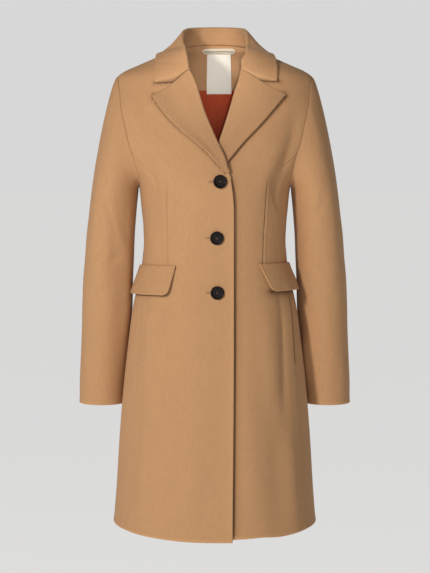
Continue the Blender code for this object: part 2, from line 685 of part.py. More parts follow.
def lapel(side, wool):
    """Two layers of wool that turn at the roll line and lie on the front, as far as the
    lapel's outer edge and, at the top, the gorge and the notch."""
    panel_rows = front_inner_boundary(side)[ROWS_BELOW_CHEST:ROWS_BELOW_CHEST + ROLL_ROWS, 1]
    panel_rows = panel_rows[panel_rows > LAPEL_BREAK + LAPEL_FIRST_ROW]
    roll_height = np.concatenate(([LAPEL_BREAK], panel_rows))
    roll_height[-1] -= GORGE_GAP
    rows = (roll_height - roll_height[0]) / (roll_height[-1] - roll_height[0])
    roll = np.stack((cloth_edge(side, roll_height), roll_height), axis=-1)
    edge_heights = np.array([point.height for point in LAPEL_EDGE[side]])
    edge_height = edge_heights[-1] + (edge_heights[0] - edge_heights[-1]) * rows
    edge = np.stack((read_table(LAPEL_EDGE[side], "x", edge_height), edge_height), axis=-1)

    notch = NOTCHES[side]
    vertex = np.array([notch.vertex_x, notch.vertex_z - GORGE_GAP])
    gorge = np.linspace(roll[-1], vertex, NOTCH_COLUMN + 1)
    across = np.linspace(0.0, 1.0, LAPEL_COLUMNS + 1)
    step = np.linspace(vertex, edge[-1], LAPEL_COLUMNS - NOTCH_COLUMN + 1)
    top = np.concatenate((gorge, step[1:]))
    low = roll[0] + (edge[0] - roll[0]) * across[:, None]
    flat = coons(low, top, roll, edge, across, rows**2)

    x, height = flat[..., 0], flat[..., 1]
    rest = overlap_lift(side, x, height) + LAPEL_SEAT + FOLDED / 2
    fall = body_surface(angle_of(x, height), height, rest)
    start = body_surface(
        angle_of(x[:, 0], height[:, 0]), height[:, 0], rest[:, 0] - LAPEL_SEAT - FOLDED)
    outward = unit(fall[:, 0] - start)
    away = fall[:, 1] - fall[:, 0]
    away = unit(away - outward * (away * outward).sum(-1, keepdims=True))
    start = start - away * ROLL_GAP
    roll_points = rolled_edge(start, away, outward, ROLL_RADIUS, ROLL_COLUMNS)
    rise = ROLL_RADIUS * 2 - LAPEL_SEAT - FOLDED
    settle = (1 - fade(across, 0.0, LAPEL_SETTLES))[None, :, None] * rise
    normals = unit(body_distance(fall)[1])
    middle = np.concatenate((roll_points, (fall + normals * settle)[:, 1:]), axis=1)
    return add_folded_cloth(f"lapel_{side}", middle, FOLDED, wool)


def neckline(side):
    """Angle and height of the neckline's points, from the centre back to the gorge."""
    back = np.array(BACK_NECK)
    front = np.array(FRONT_NECK[::-1])
    gorge_x = abs(cloth_edge(side, np.array(GORGE_HEIGHT)))
    angle = np.concatenate((
        angle_of(back[:, 0] + JUST_ASIDE, back[:, 1], back=True), [90.0],
        angle_of(front[:, 1], front[:, 0]),
        [float(angle_of(gorge_x, np.array(GORGE_HEIGHT)))]))
    height = np.concatenate((back[:, 1], [NECK_POINT_HEIGHT], front[:, 0], [GORGE_HEIGHT]))
    return SIDES[side] * angle, height


def half_collar(side):
    """One half of the collar at mid thickness, a row for each point of the neckline: up the
    stand, over the fold and down the fall."""
    angle, height = neckline(side)
    count = 2 * len(angle) - 1
    along = np.linspace(0.0, 1.0, count)
    angle, height = (np.interp(along, along[::2], values) for values in (angle, height))
    sign = SIDES[side]
    shift = read_table(COLLAR, "shift", along)

    def curve(name):
        x = sign * read_table(COLLAR, name + "_x", along) + shift
        y = read_table(COLLAR, name + "_y", along)
        z = read_table(COLLAR, name + "_z", along)
        return np.stack((x, y, z), axis=-1)

    fold, edge = curve("fold"), curve("edge")
    notch = NOTCHES[side]
    corner = np.array([[notch.vertex_x, fold[-1, 1], notch.vertex_z],
                       [notch.collar_x, edge[-1, 1], notch.collar_z]])
    over_front = overlap_lift(side, corner[:, 0], corner[:, 2])
    corner = lay(corner, LAID_GAP + FOLDED / 2 + over_front)
    edge[-1] = corner[1]
    neck_x = body_point(angle, height)[:, 0]
    sunk = np.where(np.abs(angle) < 90, overlap_lift(side, neck_x, height), 0.0)
    seam = body_surface(angle, height, sunk - WOOL / 2)
    outward_body = unit(body_surface(angle, height, np.full(count, 0.001)) - seam)

    share = np.linspace(0.0, 1.0, COLLAR_FALL_COLUMNS + 1)[None, :, None]
    fall = fold[:, None] + (edge - fold)[:, None] * share
    ends = np.linspace(fold[-1], corner[0], COLLAR_NOTCH_COLUMN + 1)
    tips = np.linspace(corner[0], corner[1], COLLAR_FALL_COLUMNS - COLLAR_NOTCH_COLUMN + 1)
    fall[-1] = np.concatenate((ends, tips[1:]))

    upward = unit(fold - fall[:, COLLAR_NOTCH_COLUMN])
    tangent = unit(np.gradient(fold, axis=0)) * sign
    outward = unit(np.cross(upward, tangent))
    outward *= np.sign((outward * outward_body).sum(-1, keepdims=True))
    radius = COLLAR_ROLL + (ROLL_RADIUS - COLLAR_ROLL) * fade(along, ROLL_TIGHTENS, 1.0)
    inside = fold - (upward + outward) * radius[:, None]

    into_neck = unit(np.cross(np.gradient(seam, axis=0), outward_body)) * sign
    lean = (unit(inside - seam) * into_neck).sum(-1, keepdims=True)
    base = STAND_GAP + FOLDED / 2 * np.sqrt(1 - lean**2)
    base[-1] = STAND_GAP
    stand_start = seam + into_neck * base
    height_left = ((inside - stand_start) * into_neck).sum(-1, keepdims=True)
    inside = inside + into_neck * np.maximum(SHORTEST_STAND - height_left, 0.0)
    roll = rolled_edge(inside, -upward, outward, radius, ROLL_COLUMNS)
    steps = np.linspace(0.0, 1.0, STAND_COLUMNS + 1)[None, :-1, None]
    stand = stand_start[:, None] + (inside - stand_start)[:, None] * steps

    lower = fall[:, 1:]
    start = roll[:, -1:]
    blend = np.repeat(1 - fade(share[:, 1:], 0.0, FALL_SETTLES), count, axis=0)
    blend[-1] = 1 - fade(share[0, 1:], 0.0, END_SETTLES)
    lower = lower + (start - fold[:, None]) * blend
    return np.concatenate((stand, roll, lower), axis=1)


def collar(wool):
    """Both halves of the collar as one folded piece of cloth.  Its fall is seated at least a
    little above the coat."""
    middle = np.concatenate((half_collar("right")[::-1], half_collar("left")[1:]))
    normals = grid_normals(middle)
    falls = slice(STAND_COLUMNS + ROLL_COLUMNS - 1, None)
    outer = middle + normals * FOLDED / 2
    inner = middle - normals * FOLDED / 2
    if body_distance(outer[0, -1])[0] < body_distance(inner[0, -1])[0]:
        outer, inner = inner, outer
    x, height = middle[:, falls, 0], middle[:, falls, 2]
    seat = COLLAR_SEAT + np.where(x < 0, 1.0, 0.0) * overlap_lift("right", x, height)
    inner[:, falls] = lay(inner[:, falls], seat, only_out=True)
    outer[:, falls] = lay(outer[:, falls], seat + FOLDED * FALL_THICKNESS, only_out=True)
    return add_wall("collar", outer, inner, wool)


# ================================================================ pocket flaps
def flap(side, wool):
    """Two layers of wool over the side-front seam.  Its flat cut is a grid between its top,
    its side end, its lower edge and its front end; the rounded lower front corner belongs
    half to the front end and half to the lower edge."""
    place = FLAPS[side]
    columns = np.linspace(0.0, 1.0, FLAP_COLUMNS + 1)
    rows = np.linspace(0.0, 1.0, FLAP_ROWS + 1)
    straight = place.height - FLAP_CORNER
    half_turn = np.radians(45.0)

    def front_end(share):
        """Down the front end, then round the first half of the corner."""
        above = 1 - CORNER_ON_END
        down = np.minimum(share / above, 1.0) * straight
        turn = np.clip((share - above) / CORNER_ON_END, 0.0, 1.0) * half_turn
        return np.stack((FLAP_CORNER * (1 - np.cos(turn)), down + FLAP_CORNER * np.sin(turn)), -1)

    def lower_edge(share):
        """Round the second half of the corner, then along the lower edge."""
        turn = half_turn + np.clip(share / CORNER_ON_EDGE, 0.0, 1.0) * half_turn
        beyond = np.clip((share - CORNER_ON_EDGE) / (1 - CORNER_ON_EDGE), 0.0, 1.0)
        run = beyond * (FLAP_WIDTH - FLAP_CORNER)
        return np.stack(
            (FLAP_CORNER * (1 - np.cos(turn)) + run, straight + FLAP_CORNER * np.sin(turn)), -1)

    top = np.stack((FLAP_WIDTH * columns, 0 * columns), axis=-1)
    side_end = np.stack((FLAP_WIDTH + 0 * rows, place.height * rows), axis=-1)
    flat = coons(top, lower_edge(columns), front_end(rows), side_end, columns, rows)
    down = flat[..., 1]
    along = flat[..., 0] / FLAP_WIDTH
    across = flat[..., 0] + place.slant * (down / place.height) * (1 - along)
    angle = SIDES[side] * (place.first_angle + np.degrees(across / HIP_RADIUS))
    height = place.top_front + (place.top_side - place.top_front) * along - down
    lift = FLAP_SEAT + FLAP_FLARE * fade(down, 0.0, place.height)
    return add_wall(
        f"flap_{side}", body_surface(angle, height, lift + FOLDED),
        body_surface(angle, height, lift), wool)


# ================================================================ inside the neck
def whole_back(low, high, columns):
    """Points of both back panels, for a layer that lies inside them: rows low to high and so
    many columns to each side of the centre back."""
    halves = []
    for side in SIDES:
        angle, height = back_grid(side)
        halves.append((angle[low:high, :columns] % 360.0, height[low:high, :columns]))
    (right_angle, right_height), (left_angle, left_height) = halves
    angle = np.concatenate((left_angle[:, ::-1], right_angle[:, 1:]), axis=1)
    height = np.concatenate((left_height[:, ::-1], right_height[:, 1:]), axis=1)
    return angle, height


def layer_inside_back(name, angle, height, thickness, trim, material):
    """Wall of cloth that lies on the inside of the back panels."""
    lift = np.full(angle.shape, -WOOL - LAID_GAP)
    outer = draw_in(body_surface(angle, height, lift), trim)
    inner = draw_in(body_surface(angle, height, lift - thickness), trim)
    return add_wall(name, outer, inner, material, mirrored_columns=angle.shape[1] // 2)


def neck_facing(wool):
    """Shaped piece of wool inside the back neck."""
    angle, height = whole_back(-FACING_ROWS - 1, None, FACING_COLUMNS + 1)
    return layer_inside_back("neck_facing", angle, height, FACING, SEAM_GAP, wool)


def lining(satin):
    """Satin inside the back, from the facing down to the waist."""
    angle, height = whole_back(LINING_FIRST_ROW, -FACING_ROWS, LINING_COLUMNS + 1)
    return layer_inside_back("lining", angle, height, SATIN, SEAM_GAP, satin)


def neck_label(cream):
    """Plain woven label, laid on the facing."""
    x = NECK_SHIFT + np.linspace(-LABEL_HALF_WIDTH, LABEL_HALF_WIDTH, LABEL_COLUMNS + 1)[None, :]
    height = np.linspace(LABEL_BOTTOM, LABEL_TOP, LABEL_ROWS + 1)[:, None]
    x, height = np.broadcast_arrays(x, height)
    angle = angle_of(x, height, back=True)
    lift = np.full(angle.shape, -WOOL - FACING - LAID_GAP - LABEL_LIFT)
    return add_wall(
        "neck_label", body_surface(angle, height, lift),
        body_surface(angle, height, lift - LABEL), cream)


def hanger_loop(cream):
    """Tape across the top of the facing, sewn down at its pointed ends and a little slack
    between them."""
    share = np.linspace(-1.0, 1.0, LOOP_COLUMNS + 1)[None, :]
    across = np.linspace(-0.5, 0.5, LOOP_ROWS + 1)[:, None]
    slack = 1 - share**2
    x = NECK_SHIFT + LOOP_HALF_LENGTH * share + 0 * across
    full = fade(1 - np.abs(share), 0.0, LOOP_POINT)
    width = LOOP_WIDTH * (LOOP_END_WIDTH + (1 - LOOP_END_WIDTH) * full)
    height = LOOP_HEIGHT + LOOP_ARC * slack + width * across
    angle = angle_of(x, height, back=True)
    lift = -WOOL - FACING - LAID_GAP - LABEL_LIFT - LOOP_SLACK * slack + 0 * across
    return add_wall(
        "hanger_loop", body_surface(angle, height, lift),
        body_surface(angle, height, lift - TAPE), cream)


# ================================================================ buttons
def button_disc(name, horn):
    """Turned disc with a raised rim and a dished centre, about its own Z axis."""
    radius, half = BUTTON_RADIUS, BUTTON_THICKNESS / 2
    dish = radius - BUTTON_RIM
    profile = (
        (0.0, half - BUTTON_DISH), (dish * BUTTON_FLAT, half - BUTTON_DISH),
        (dish, half - BUTTON_CREST), (radius - BUTTON_BEVEL, half),
        (radius - BUTTON_CREST, half - BUTTON_SHOULDER), (radius, 0.0),
        (radius - BUTTON_BEVEL, -half), (0.0, -half),
    )
    shape = bmesh.new()
    chain = [shape.verts.new((r, 0.0, z)) for r, z in profile]
    edges = [shape.edges.new(pair) for pair in zip(chain, chain[1:])]
    bmesh.ops.spin(shape, geom=chain + edges, cent=(0, 0, 0), axis=(0, 0, 1),
                   angle=2 * math.pi, steps=BUTTON_SIDES, use_merge=True)
    bmesh.ops.remove_doubles(shape, verts=shape.verts, dist=1e-6)
    return add_shape(name, shape, horn)


def thread_holes(name):
    """Cutter for the four holes of a button."""
    shape = bmesh.new()
    for column in (-1, 1):
        for row in (-1, 1):
            hole = bmesh.ops.create_cone(
                shape, cap_ends=True, segments=BUTTON_HOLE_SIDES, radius1=BUTTON_HOLE_RADIUS,
                radius2=BUTTON_HOLE_RADIUS, depth=BUTTON_THICKNESS * 3)
            bmesh.ops.translate(
                shape, verts=hole["verts"],
                vec=(column * BUTTON_HOLE_SPACING, row * BUTTON_HOLE_SPACING, 0))
    mesh = bpy.data.meshes.new(name)
    shape.to_mesh(mesh)
    shape.free()
    cutter = bpy.data.objects.new(name, mesh)
    bpy.context.scene.collection.objects.link(cutter)
    cutter.hide_render = True
    cutter.display_type = "WIRE"
    return cutter


def button_matrix(place):
    """Matrix that puts a button square to the wearer's right front, just clear of it."""
    x, height = np.array(place.x), np.array(place.height)
    angle = angle_of(x, height)
    lift = overlap_lift("right", x, height)
    seat = body_surface(angle, height, lift)
    outward = unit(body_surface(angle, height, lift + BUTTON_THICKNESS) - seat)
    upward = np.array([0.0, 0.0, 1.0])
    rise = unit(upward - outward * (upward @ outward))
    matrix = np.eye(4)
    matrix[:3, :3] = np.stack((np.cross(rise, outward), rise, outward), axis=1)
    matrix[:3, 3] = seat + outward * (BUTTON_THICKNESS / 2 + BUTTON_SEAT)
    return matrix


def button(place, horn):
    """One button with its four thread holes."""
    disc = button_disc(place.name, horn)
    cutter = thread_holes(place.name + "_holes")
    cut = disc.modifiers.new("thread holes", "BOOLEAN")
    cut.operation = "DIFFERENCE"
    cut.solver = "EXACT"
    cut.object = cutter
    for piece in (disc, cutter):
        piece.matrix_world = button_matrix(place).T.tolist()
    return disc


def main():
    for leftover in list(bpy.data.objects):
        bpy.data.objects.remove(leftover, do_unlink=True)
    wool, satin, cream, horn = (
        plain_material(finish) for finish in (CAMEL_WOOL, RUST_SATIN, CREAM_TAPE, DARK_HORN))
    for side in SIDES:
        front_panel(side, wool)
        side_panel(side, wool)
        back_panel(side, wool)
        sleeve(side, wool)
        lapel(side, wool)
        flap(side, wool)
    collar(wool)
    neck_facing(wool)
    lining(satin)
    neck_label(cream)
    hanger_loop(cream)
    for place in BUTTONS:
        button(place, horn)


main()
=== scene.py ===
"""The wool coat as it looks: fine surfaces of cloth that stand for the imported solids.

Each piece is worked out again from the coat's own tables, as a function of two parameters on
a fine grid, with its folds, seams, rounded edges and stitching.  Lengths are in metres, the
front faces -Y, +Z is up and the wearer's left is +X.
"""

import math
from collections import namedtuple

import bpy
import numpy as np
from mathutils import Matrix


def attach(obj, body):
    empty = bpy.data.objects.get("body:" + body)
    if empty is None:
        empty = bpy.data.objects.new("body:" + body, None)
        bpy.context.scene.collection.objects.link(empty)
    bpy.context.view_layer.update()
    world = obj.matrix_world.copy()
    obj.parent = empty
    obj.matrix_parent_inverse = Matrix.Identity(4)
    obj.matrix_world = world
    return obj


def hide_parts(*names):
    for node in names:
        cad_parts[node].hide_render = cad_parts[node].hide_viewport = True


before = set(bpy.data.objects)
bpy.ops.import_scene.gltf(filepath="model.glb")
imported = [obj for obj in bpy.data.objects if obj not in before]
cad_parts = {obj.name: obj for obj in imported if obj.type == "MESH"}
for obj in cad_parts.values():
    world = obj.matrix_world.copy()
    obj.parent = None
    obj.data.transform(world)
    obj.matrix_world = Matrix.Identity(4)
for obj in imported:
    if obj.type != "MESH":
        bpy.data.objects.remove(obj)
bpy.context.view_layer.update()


def rows_of(kind, *rows):
    """A table: rows of plain values, with a name for each column."""
    return tuple(kind(*row) for row in rows)


# ---------------------------------------------------------------- cloth
WOOL = 0.0022            # coating wool with its fused backing
FOLDED = 0.0032          # two layers of wool: collar, lapels and flaps
FACING = 0.0018
SATIN = 0.0010
LABEL = 0.0010
TAPE = 0.0014
SEAM_GAP = 0.0006        # between two pieces that are sewn edge to edge
LAID_GAP = 0.0004        # between a piece and the one it lies on

# ---------------------------------------------------------------- body
HEM_HEIGHT = -0.898
HEM_RISE = 0.011         # how much higher the hem is at the sides than at the front
HEM_RISE_START = -0.70
SHOULDER_TIP_HEIGHT = -0.0467
NECK_POINT_HEIGHT = 0.0065
NECK_POINT_X = 0.070
NECK_SHIFT = 0.0085      # the loop and the label sit this far towards the wearer's left

Section = namedtuple("Section", "height half_width front back squareness")
BODY = rows_of(Section,
    (0.060, 0.0540, 0.048, 0.062, 2.0), (0.030, 0.0585, 0.052, 0.069, 2.0),
    (0.0065, 0.0700, 0.058, 0.076, 1.9), (-0.0076, 0.1040, 0.064, 0.083, 1.8),
    (-0.0247, 0.1438, 0.071, 0.090, 1.8), (-0.036, 0.1690, 0.075, 0.094, 1.9),
    (-0.0467, 0.1835, 0.079, 0.097, 2.0), (-0.075, 0.1960, 0.088, 0.104, 2.1),
    (-0.110, 0.2030, 0.100, 0.111, 2.2), (-0.160, 0.1940, 0.116, 0.115, 2.2),
    (-0.210, 0.1680, 0.129, 0.113, 2.15), (-0.251, 0.1430, 0.136, 0.109, 2.1),
    (-0.295, 0.1380, 0.133, 0.102, 2.1), (-0.345, 0.1345, 0.125, 0.098, 2.1),
    (-0.386, 0.1363, 0.122, 0.101, 2.1), (-0.431, 0.1445, 0.124, 0.110, 2.1),
    (-0.492, 0.1570, 0.130, 0.123, 2.1), (-0.560, 0.1645, 0.137, 0.133, 2.1),
    (-0.663, 0.1745, 0.147, 0.142, 2.1), (-0.735, 0.1800, 0.155, 0.146, 2.1),
    (-0.800, 0.1850, 0.162, 0.149, 2.1), (HEM_HEIGHT, 0.1935, 0.172, 0.152, 2.1),
)

# Heights of the rows that the front, side and back panels share below the armhole.
SEAM_HEIGHTS = (
    HEM_HEIGHT, -0.800, -0.710, -0.620, -0.540, -0.470, -0.420, -0.380,
    -0.340, -0.300, -0.265, -0.240, -0.222, -0.206, -0.1922,
)
ROWS_BELOW_CHEST = 11    # rows of SEAM_HEIGHTS that run level right across the panels

# Side-front and side-back seams, as angles round the body from the front centre.
Seam = namedtuple("Seam", "height right left")
SIDE_FRONT_SEAM = rows_of(Seam,
    (-0.1922, 57.7, 57.7), (-0.206, 53.5, 53.5), (-0.225, 48.6, 49.0), (-0.245, 46.6, 47.0),
    (-0.2656, 47.5, 48.0), (-0.312, 55.0, 57.7), (-0.3435, 58.0, 62.0), (-0.386, 60.0, 64.5),
    (-0.448, 60.5, 66.5), (-0.520, 58.5, 64.5), (-0.610, 57.0, 62.5), (-0.800, 57.0, 61.6),
    (HEM_HEIGHT, 57.0, 61.5),
)
SIDE_BACK_SEAM = rows_of(Seam,
    (-0.1922, 118.65, 118.65), (-0.210, 120.8, 120.8), (-0.235, 124.0, 124.0),
    (-0.270, 127.5, 127.5), (-0.345, 129.0, 129.0), (-0.450, 127.0, 127.0), (-0.620, 123.0, 123.0),
    (HEM_HEIGHT, 121.0, 121.0),
)

# The armhole is an oval round the side of the body, from the shoulder tip at 0 degrees
# to the underarm at 180.
ARMHOLE_MID_HEIGHT = -0.149
ARMHOLE_HALF_HEIGHT = 0.1023
ARMHOLE_FRONT_REACH = 35.0
ARMHOLE_BACK_REACH = 31.0
ARMHOLE_ROUNDNESS = 0.8
ARMHOLE_FRONT_STEPS = (115.0, 98.0, 81.0, 64.0, 48.0, 33.0, 20.0, 9.0, 0.0)
ARMHOLE_UNDER_STEPS = (115.0, 137.0, 158.0, 180.0, 202.0, 223.0, 245.0)

# Front edge and roll line as seen from the front: x of the visible edge on each side.
Edge = namedtuple("Edge", "height right left")
FRONT_EDGE = rows_of(Edge,
    (-0.040, -0.0452, 0.0485), (-0.060, -0.0354, 0.0430), (-0.078, -0.0286, 0.0358),
    (-0.116, -0.0169, 0.0246), (-0.168, 0.0046, 0.0075), (-0.208, 0.0224, -0.0076),
    (-0.228, 0.0272, -0.0150), (-0.249, 0.0304, -0.0203), (-0.294, 0.0344, -0.0255),
    (-0.476, 0.0349, -0.0260), (HEM_HEIGHT, 0.0322, -0.0240),
)
GORGE_HEIGHT = -0.040    # where the roll line passes from lapel to collar
ROLL_ROWS = 7            # rows of the front panel between the chest and the gorge
ROLL_RADIUS = 0.0023     # of the turned edge, measured at mid thickness
ROLL_REACH = ROLL_RADIUS + FOLDED / 2 + SEAM_GAP
LAPEL_SEAT = 0.0010      # how far the lapel's under layer lies off the front
BREAK_LOW = -0.234       # the roll fades into a flat front edge between these heights
BREAK_HIGH = -0.216

# Neckline of the fronts, between the gorge and the neck point.
FRONT_NECK = ((-0.027, 0.0540), (-0.015, 0.0585), (-0.005, 0.0630), (0.002, 0.0668))
# Neckline of the back, from the centre back to the neck point: x and height.
BACK_NECK = (
    (0.000, 0.0180), (0.0145, 0.0178), (0.0290, 0.0168), (0.0430, 0.0146), (0.0570, 0.0112),
)
BACK_CENTRE_HEIGHTS = (
    -0.240, -0.215, -0.186, -0.157, -0.128, -0.099, -0.070, -0.048, -0.028, -0.011, 0.004, 0.018,
)

# How the fronts part where they overlap, and more so where the under lapel lies between.
OVERLAP_OUT = 0.0010
OVERLAP_IN = 0.0022
OVERLAP_FADES = {"right": (-0.095, -0.030), "left": (0.038, 0.100)}  # x where it dies away
LAPEL_SPREAD = 0.0034
LAPEL_SPREAD_HEIGHT = -0.198
LAPEL_SPREAD_REACH = 0.045

# ---------------------------------------------------------------- collar and lapels
CollarSection = namedtuple(
    "CollarSection", "along fold_x fold_y fold_z edge_x edge_y edge_z shift")
COLLAR = rows_of(CollarSection,
    (0.00, 0.0000, 0.0660, 0.0510, 0.0000, 0.0950, -0.0160, 0.000),
    (0.15, 0.0240, 0.0625, 0.0502, 0.0400, 0.0905, -0.0155, 0.000),
    (0.30, 0.0425, 0.0480, 0.0478, 0.0760, 0.0720, -0.0135, 0.000),
    (0.45, 0.0530, 0.0260, 0.0435, 0.1000, 0.0380, -0.0075, 0.001),
    (0.60, 0.0563, 0.0000, 0.0325, 0.1085, 0.0020, -0.0075, 0.001),
    (0.72, 0.0548, -0.0220, 0.0115, 0.1095, -0.0270, -0.0195, 0.002),
    (0.84, 0.0520, -0.0420, -0.0090, 0.1105, -0.0500, -0.0375, 0.003),
    (1.00, 0.0485, -0.0715, -0.0400, 0.1131, -0.0735, -0.0597, 0.0017),
)
COLLAR_ROLL = 0.0034
STAND_GAP = 0.0018       # between the stand's lower edge and the neckline
SHORTEST_STAND = 0.0008  # at its front end
COLLAR_SEAT = 0.0022     # how far the fall lies off the coat at least

Notch = namedtuple("Notch", "vertex_x vertex_z collar_x collar_z")
NOTCHES = {
    "right": Notch(-0.0726, -0.0640, -0.1080, -0.0618),
    "left": Notch(0.0830, -0.0602, 0.1182, -0.0570),
}
LapelPoint = namedtuple("LapelPoint", "height x")
LAPEL_EDGE = {
    "right": rows_of(LapelPoint,
        (-0.0871, -0.1149), (-0.1288, -0.0845), (-0.1947, -0.0122), (-0.2190, 0.0097),
        (-0.2290, 0.0196),
    ),
    "left": rows_of(LapelPoint,
        (-0.0849, 0.1295), (-0.1343, 0.0880), (-0.1779, 0.0473), (-0.2077, 0.0221),
        (-0.2290, -0.0020),
    ),
}
LAPEL_BREAK = -0.2265
LAPEL_COLUMNS = 8
NOTCH_COLUMN = 3         # the column of the lapel that ends in the notch's vertex

# ---------------------------------------------------------------- sleeves
SleeveRing = namedtuple("SleeveRing", "height x y half_width half_depth")
SLEEVE = rows_of(SleeveRing,
    (-0.262, 0.1886, 0.004, 0.0420, 0.0680), (-0.280, 0.1908, 0.006, 0.0422, 0.0672),
    (-0.3055, 0.1935, 0.008, 0.0425, 0.0660), (-0.345, 0.1976, 0.013, 0.0435, 0.0640),
    (-0.386, 0.2002, 0.018, 0.0443, 0.0625), (-0.430, 0.2034, 0.023, 0.0453, 0.0610),
    (-0.477, 0.2052, 0.028, 0.0458, 0.0585), (-0.5226, 0.2078, 0.032, 0.0445, 0.0560),
    (-0.570, 0.2105, 0.035, 0.0440, 0.0540), (-0.620, 0.2135, 0.037, 0.0435, 0.0515),
    (-0.6665, 0.2155, 0.038, 0.0420, 0.0490),
)
SLEEVE_RINGS = 13        # level rings between the underarm and the cuff
CAP_OUTWARD = 0.030      # how strongly the cap leaves the armhole sideways
CAP_DOWNWARD = 1.15      # how straight it comes down on the level rings

# ---------------------------------------------------------------- pockets
FlapPlace = namedtuple("FlapPlace", "first_angle top_front top_side height slant")
FLAPS = {
    "right": FlapPlace(29.7, -0.3972, -0.3995, 0.0555, 0.006),
    "left": FlapPlace(34.5, -0.3940, -0.3950, 0.0525, 0.0155),
}
FLAP_WIDTH = 0.1235
FLAP_CORNER = 0.011
FLAP_SEAT = 0.0015       # how far the upper edge stands off the coat
FLAP_FLARE = 0.0042      # and how much more the lower edge does
HIP_RADIUS = 0.1262      # of the body under the flap, to turn widths into angles

# ---------------------------------------------------------------- buttons
BUTTON_RADIUS = 0.0125
BUTTON_THICKNESS = 0.0036
BUTTON_RIM = 0.0026      # width of the raised rim
BUTTON_DISH = 0.0011     # depth of the dished centre
BUTTON_HOLE_SPACING = 0.0021
Button = namedtuple("Button", "name x height")
BUTTONS = rows_of(Button,
    ("button_top", 0.0097, -0.2439), ("button_middle", 0.0040, -0.3458),
    ("button_bottom", 0.0048, -0.4463),
)

# ---------------------------------------------------------------- inside the neck
LABEL_HALF_WIDTH = 0.0242
LABEL_LIFT = 0.0009      # the label and the loop stand this far off the facing
LABEL_TOP = 0.0038
LABEL_BOTTOM = -0.0722
LOOP_HALF_LENGTH = 0.0350
LOOP_WIDTH = 0.0088
LOOP_HEIGHT = 0.0082
LOOP_ARC = 0.0018        # how far the loop rises at its middle
LOOP_SLACK = 0.0032      # how far its middle stands off the facing

# The wearer's sides, and the sign of x on each.
SIDES = {"right": -1.0, "left": 1.0}


# ================================================================ reading the tables
def smooth_read(stations, values, at):
    """Smooth curve through a table that never overshoots: cubic pieces whose slope at each
    station is the harmonic mean of its neighbours, or nothing at a turning point."""
    order = np.argsort(stations)
    stations = np.asarray(stations, float)[order]
    values = np.asarray(values, float)[order]
    step = np.diff(stations)
    slope = np.diff(values) / step
    same_way = slope[:-1] * slope[1:] > 0
    total = np.where(same_way, slope[:-1] + slope[1:], 1.0)
    tangent = np.concatenate((
        slope[:1], np.where(same_way, 2 * slope[:-1] * slope[1:] / total, 0.0), slope[-1:]))
    at = np.clip(at, stations[0], stations[-1])
    cell = np.clip(np.searchsorted(stations, at) - 1, 0, len(step) - 1)
    width = step[cell]
    t = (at - stations[cell]) / width
    return (values[cell] * (2 * t**3 - 3 * t**2 + 1)
            + values[cell + 1] * (3 * t**2 - 2 * t**3)
            + tangent[cell] * width * (t**3 - 2 * t**2 + t)
            + tangent[cell + 1] * width * (t**3 - t**2))


def read_table(table, column, at):
    """Read one named column of a table, by its first column."""
    stations = [row[0] for row in table]
    values = [getattr(row, column) for row in table]
    return smooth_read(stations, values, at)


def fade(value, start, end):
    """0 before start, 1 after end, with a smooth step between."""
    t = np.clip((value - start) / (end - start), 0.0, 1.0)
    return t * t * (3 - 2 * t)


def unit(vectors):
    """Directions of length 1."""
    return vectors / np.linalg.norm(vectors, axis=-1, keepdims=True)


def body_point(angle, height):
    """Outside of the body at an angle in degrees from the front centre, positive towards
    the wearer's left.  Each level ring is a superellipse with its own depth in front of and
    behind the side line."""
    angle = np.radians(angle)
    power = 2.0 / read_table(BODY, "squareness", height)
    cosine = np.cos(angle)
    sine = np.sin(angle)
    depth = np.where(
        cosine > 0, read_table(BODY, "front", height), read_table(BODY, "back", height))
    x = read_table(BODY, "half_width", height) * np.sign(sine) * np.abs(sine)**power
    y = -depth * np.sign(cosine) * np.abs(cosine)**power
    return np.stack((x, y, height + 0 * x), axis=-1)


def body_surface(angle, height, lift):
    """A point of the body moved out along the surface's normal by lift.  The hem is raised
    towards the sides."""
    angle = np.asarray(angle, float)
    height = np.asarray(height, float)
    low = 1 - fade(height, HEM_HEIGHT, HEM_RISE_START)
    height = height + HEM_RISE * low * np.sin(np.radians(angle))**2
    turn = 0.4
    climb = 0.0004
    along = body_point(angle + turn, height) - body_point(angle - turn, height)
    upward = body_point(angle, height + climb) - body_point(angle, height - climb)
    normal = unit(np.cross(along, upward))
    return body_point(angle, height) + normal * np.asarray(lift)[..., None]


def angle_of(x, height, back=False):
    """Angle round the body of the point that is seen at x from the front or from behind."""
    share = np.clip(np.abs(x) / read_table(BODY, "half_width", height), 0.0, 1.0)
    power = read_table(BODY, "squareness", height) / 2.0
    angle = np.degrees(np.arcsin(share**power)) * np.sign(x)
    return np.where(np.sign(x) == 0, 180.0, 180.0 * np.sign(x) - angle) if back else angle


def back_surface(x, height, lift):
    """Point of the back that is seen at x from behind, moved out by lift."""
    return body_surface(angle_of(x, height, back=True), height, lift)


def body_field(points):
    """1 on the body's surface, less inside it and more outside."""
    x, y, z = points[..., 0], points[..., 1], points[..., 2]
    power = read_table(BODY, "squareness", z)
    depth = np.where(y < 0, read_table(BODY, "front", z), read_table(BODY, "back", z))
    return ((np.abs(x) / read_table(BODY, "half_width", z))**power + (np.abs(y) / depth)**power)


def body_distance(points):
    """Distance out from the body's surface and its outward direction, to first order."""
    small = 0.0003
    steps = np.eye(3) * small
    slope = np.stack(
        [(body_field(points + s) - body_field(points - s)) / (2 * small) for s in steps], axis=-1)
    size = np.linalg.norm(slope, axis=-1)
    return (body_field(points) - 1) / size, slope / size[..., None]


LAY_STEPS = 8            # enough for points to come to rest on the curved surface


def lay(points, lift, only_out=False):
    """Move points along the surface's normal until they lie at lift over the body, or only
    those that lie lower than that."""
    for _ in range(LAY_STEPS):
        distance, outward = body_distance(points)
        move = lift - distance
        if only_out:
            move = np.maximum(move, 0.0)
        points = points + outward * move[..., None]
    return points


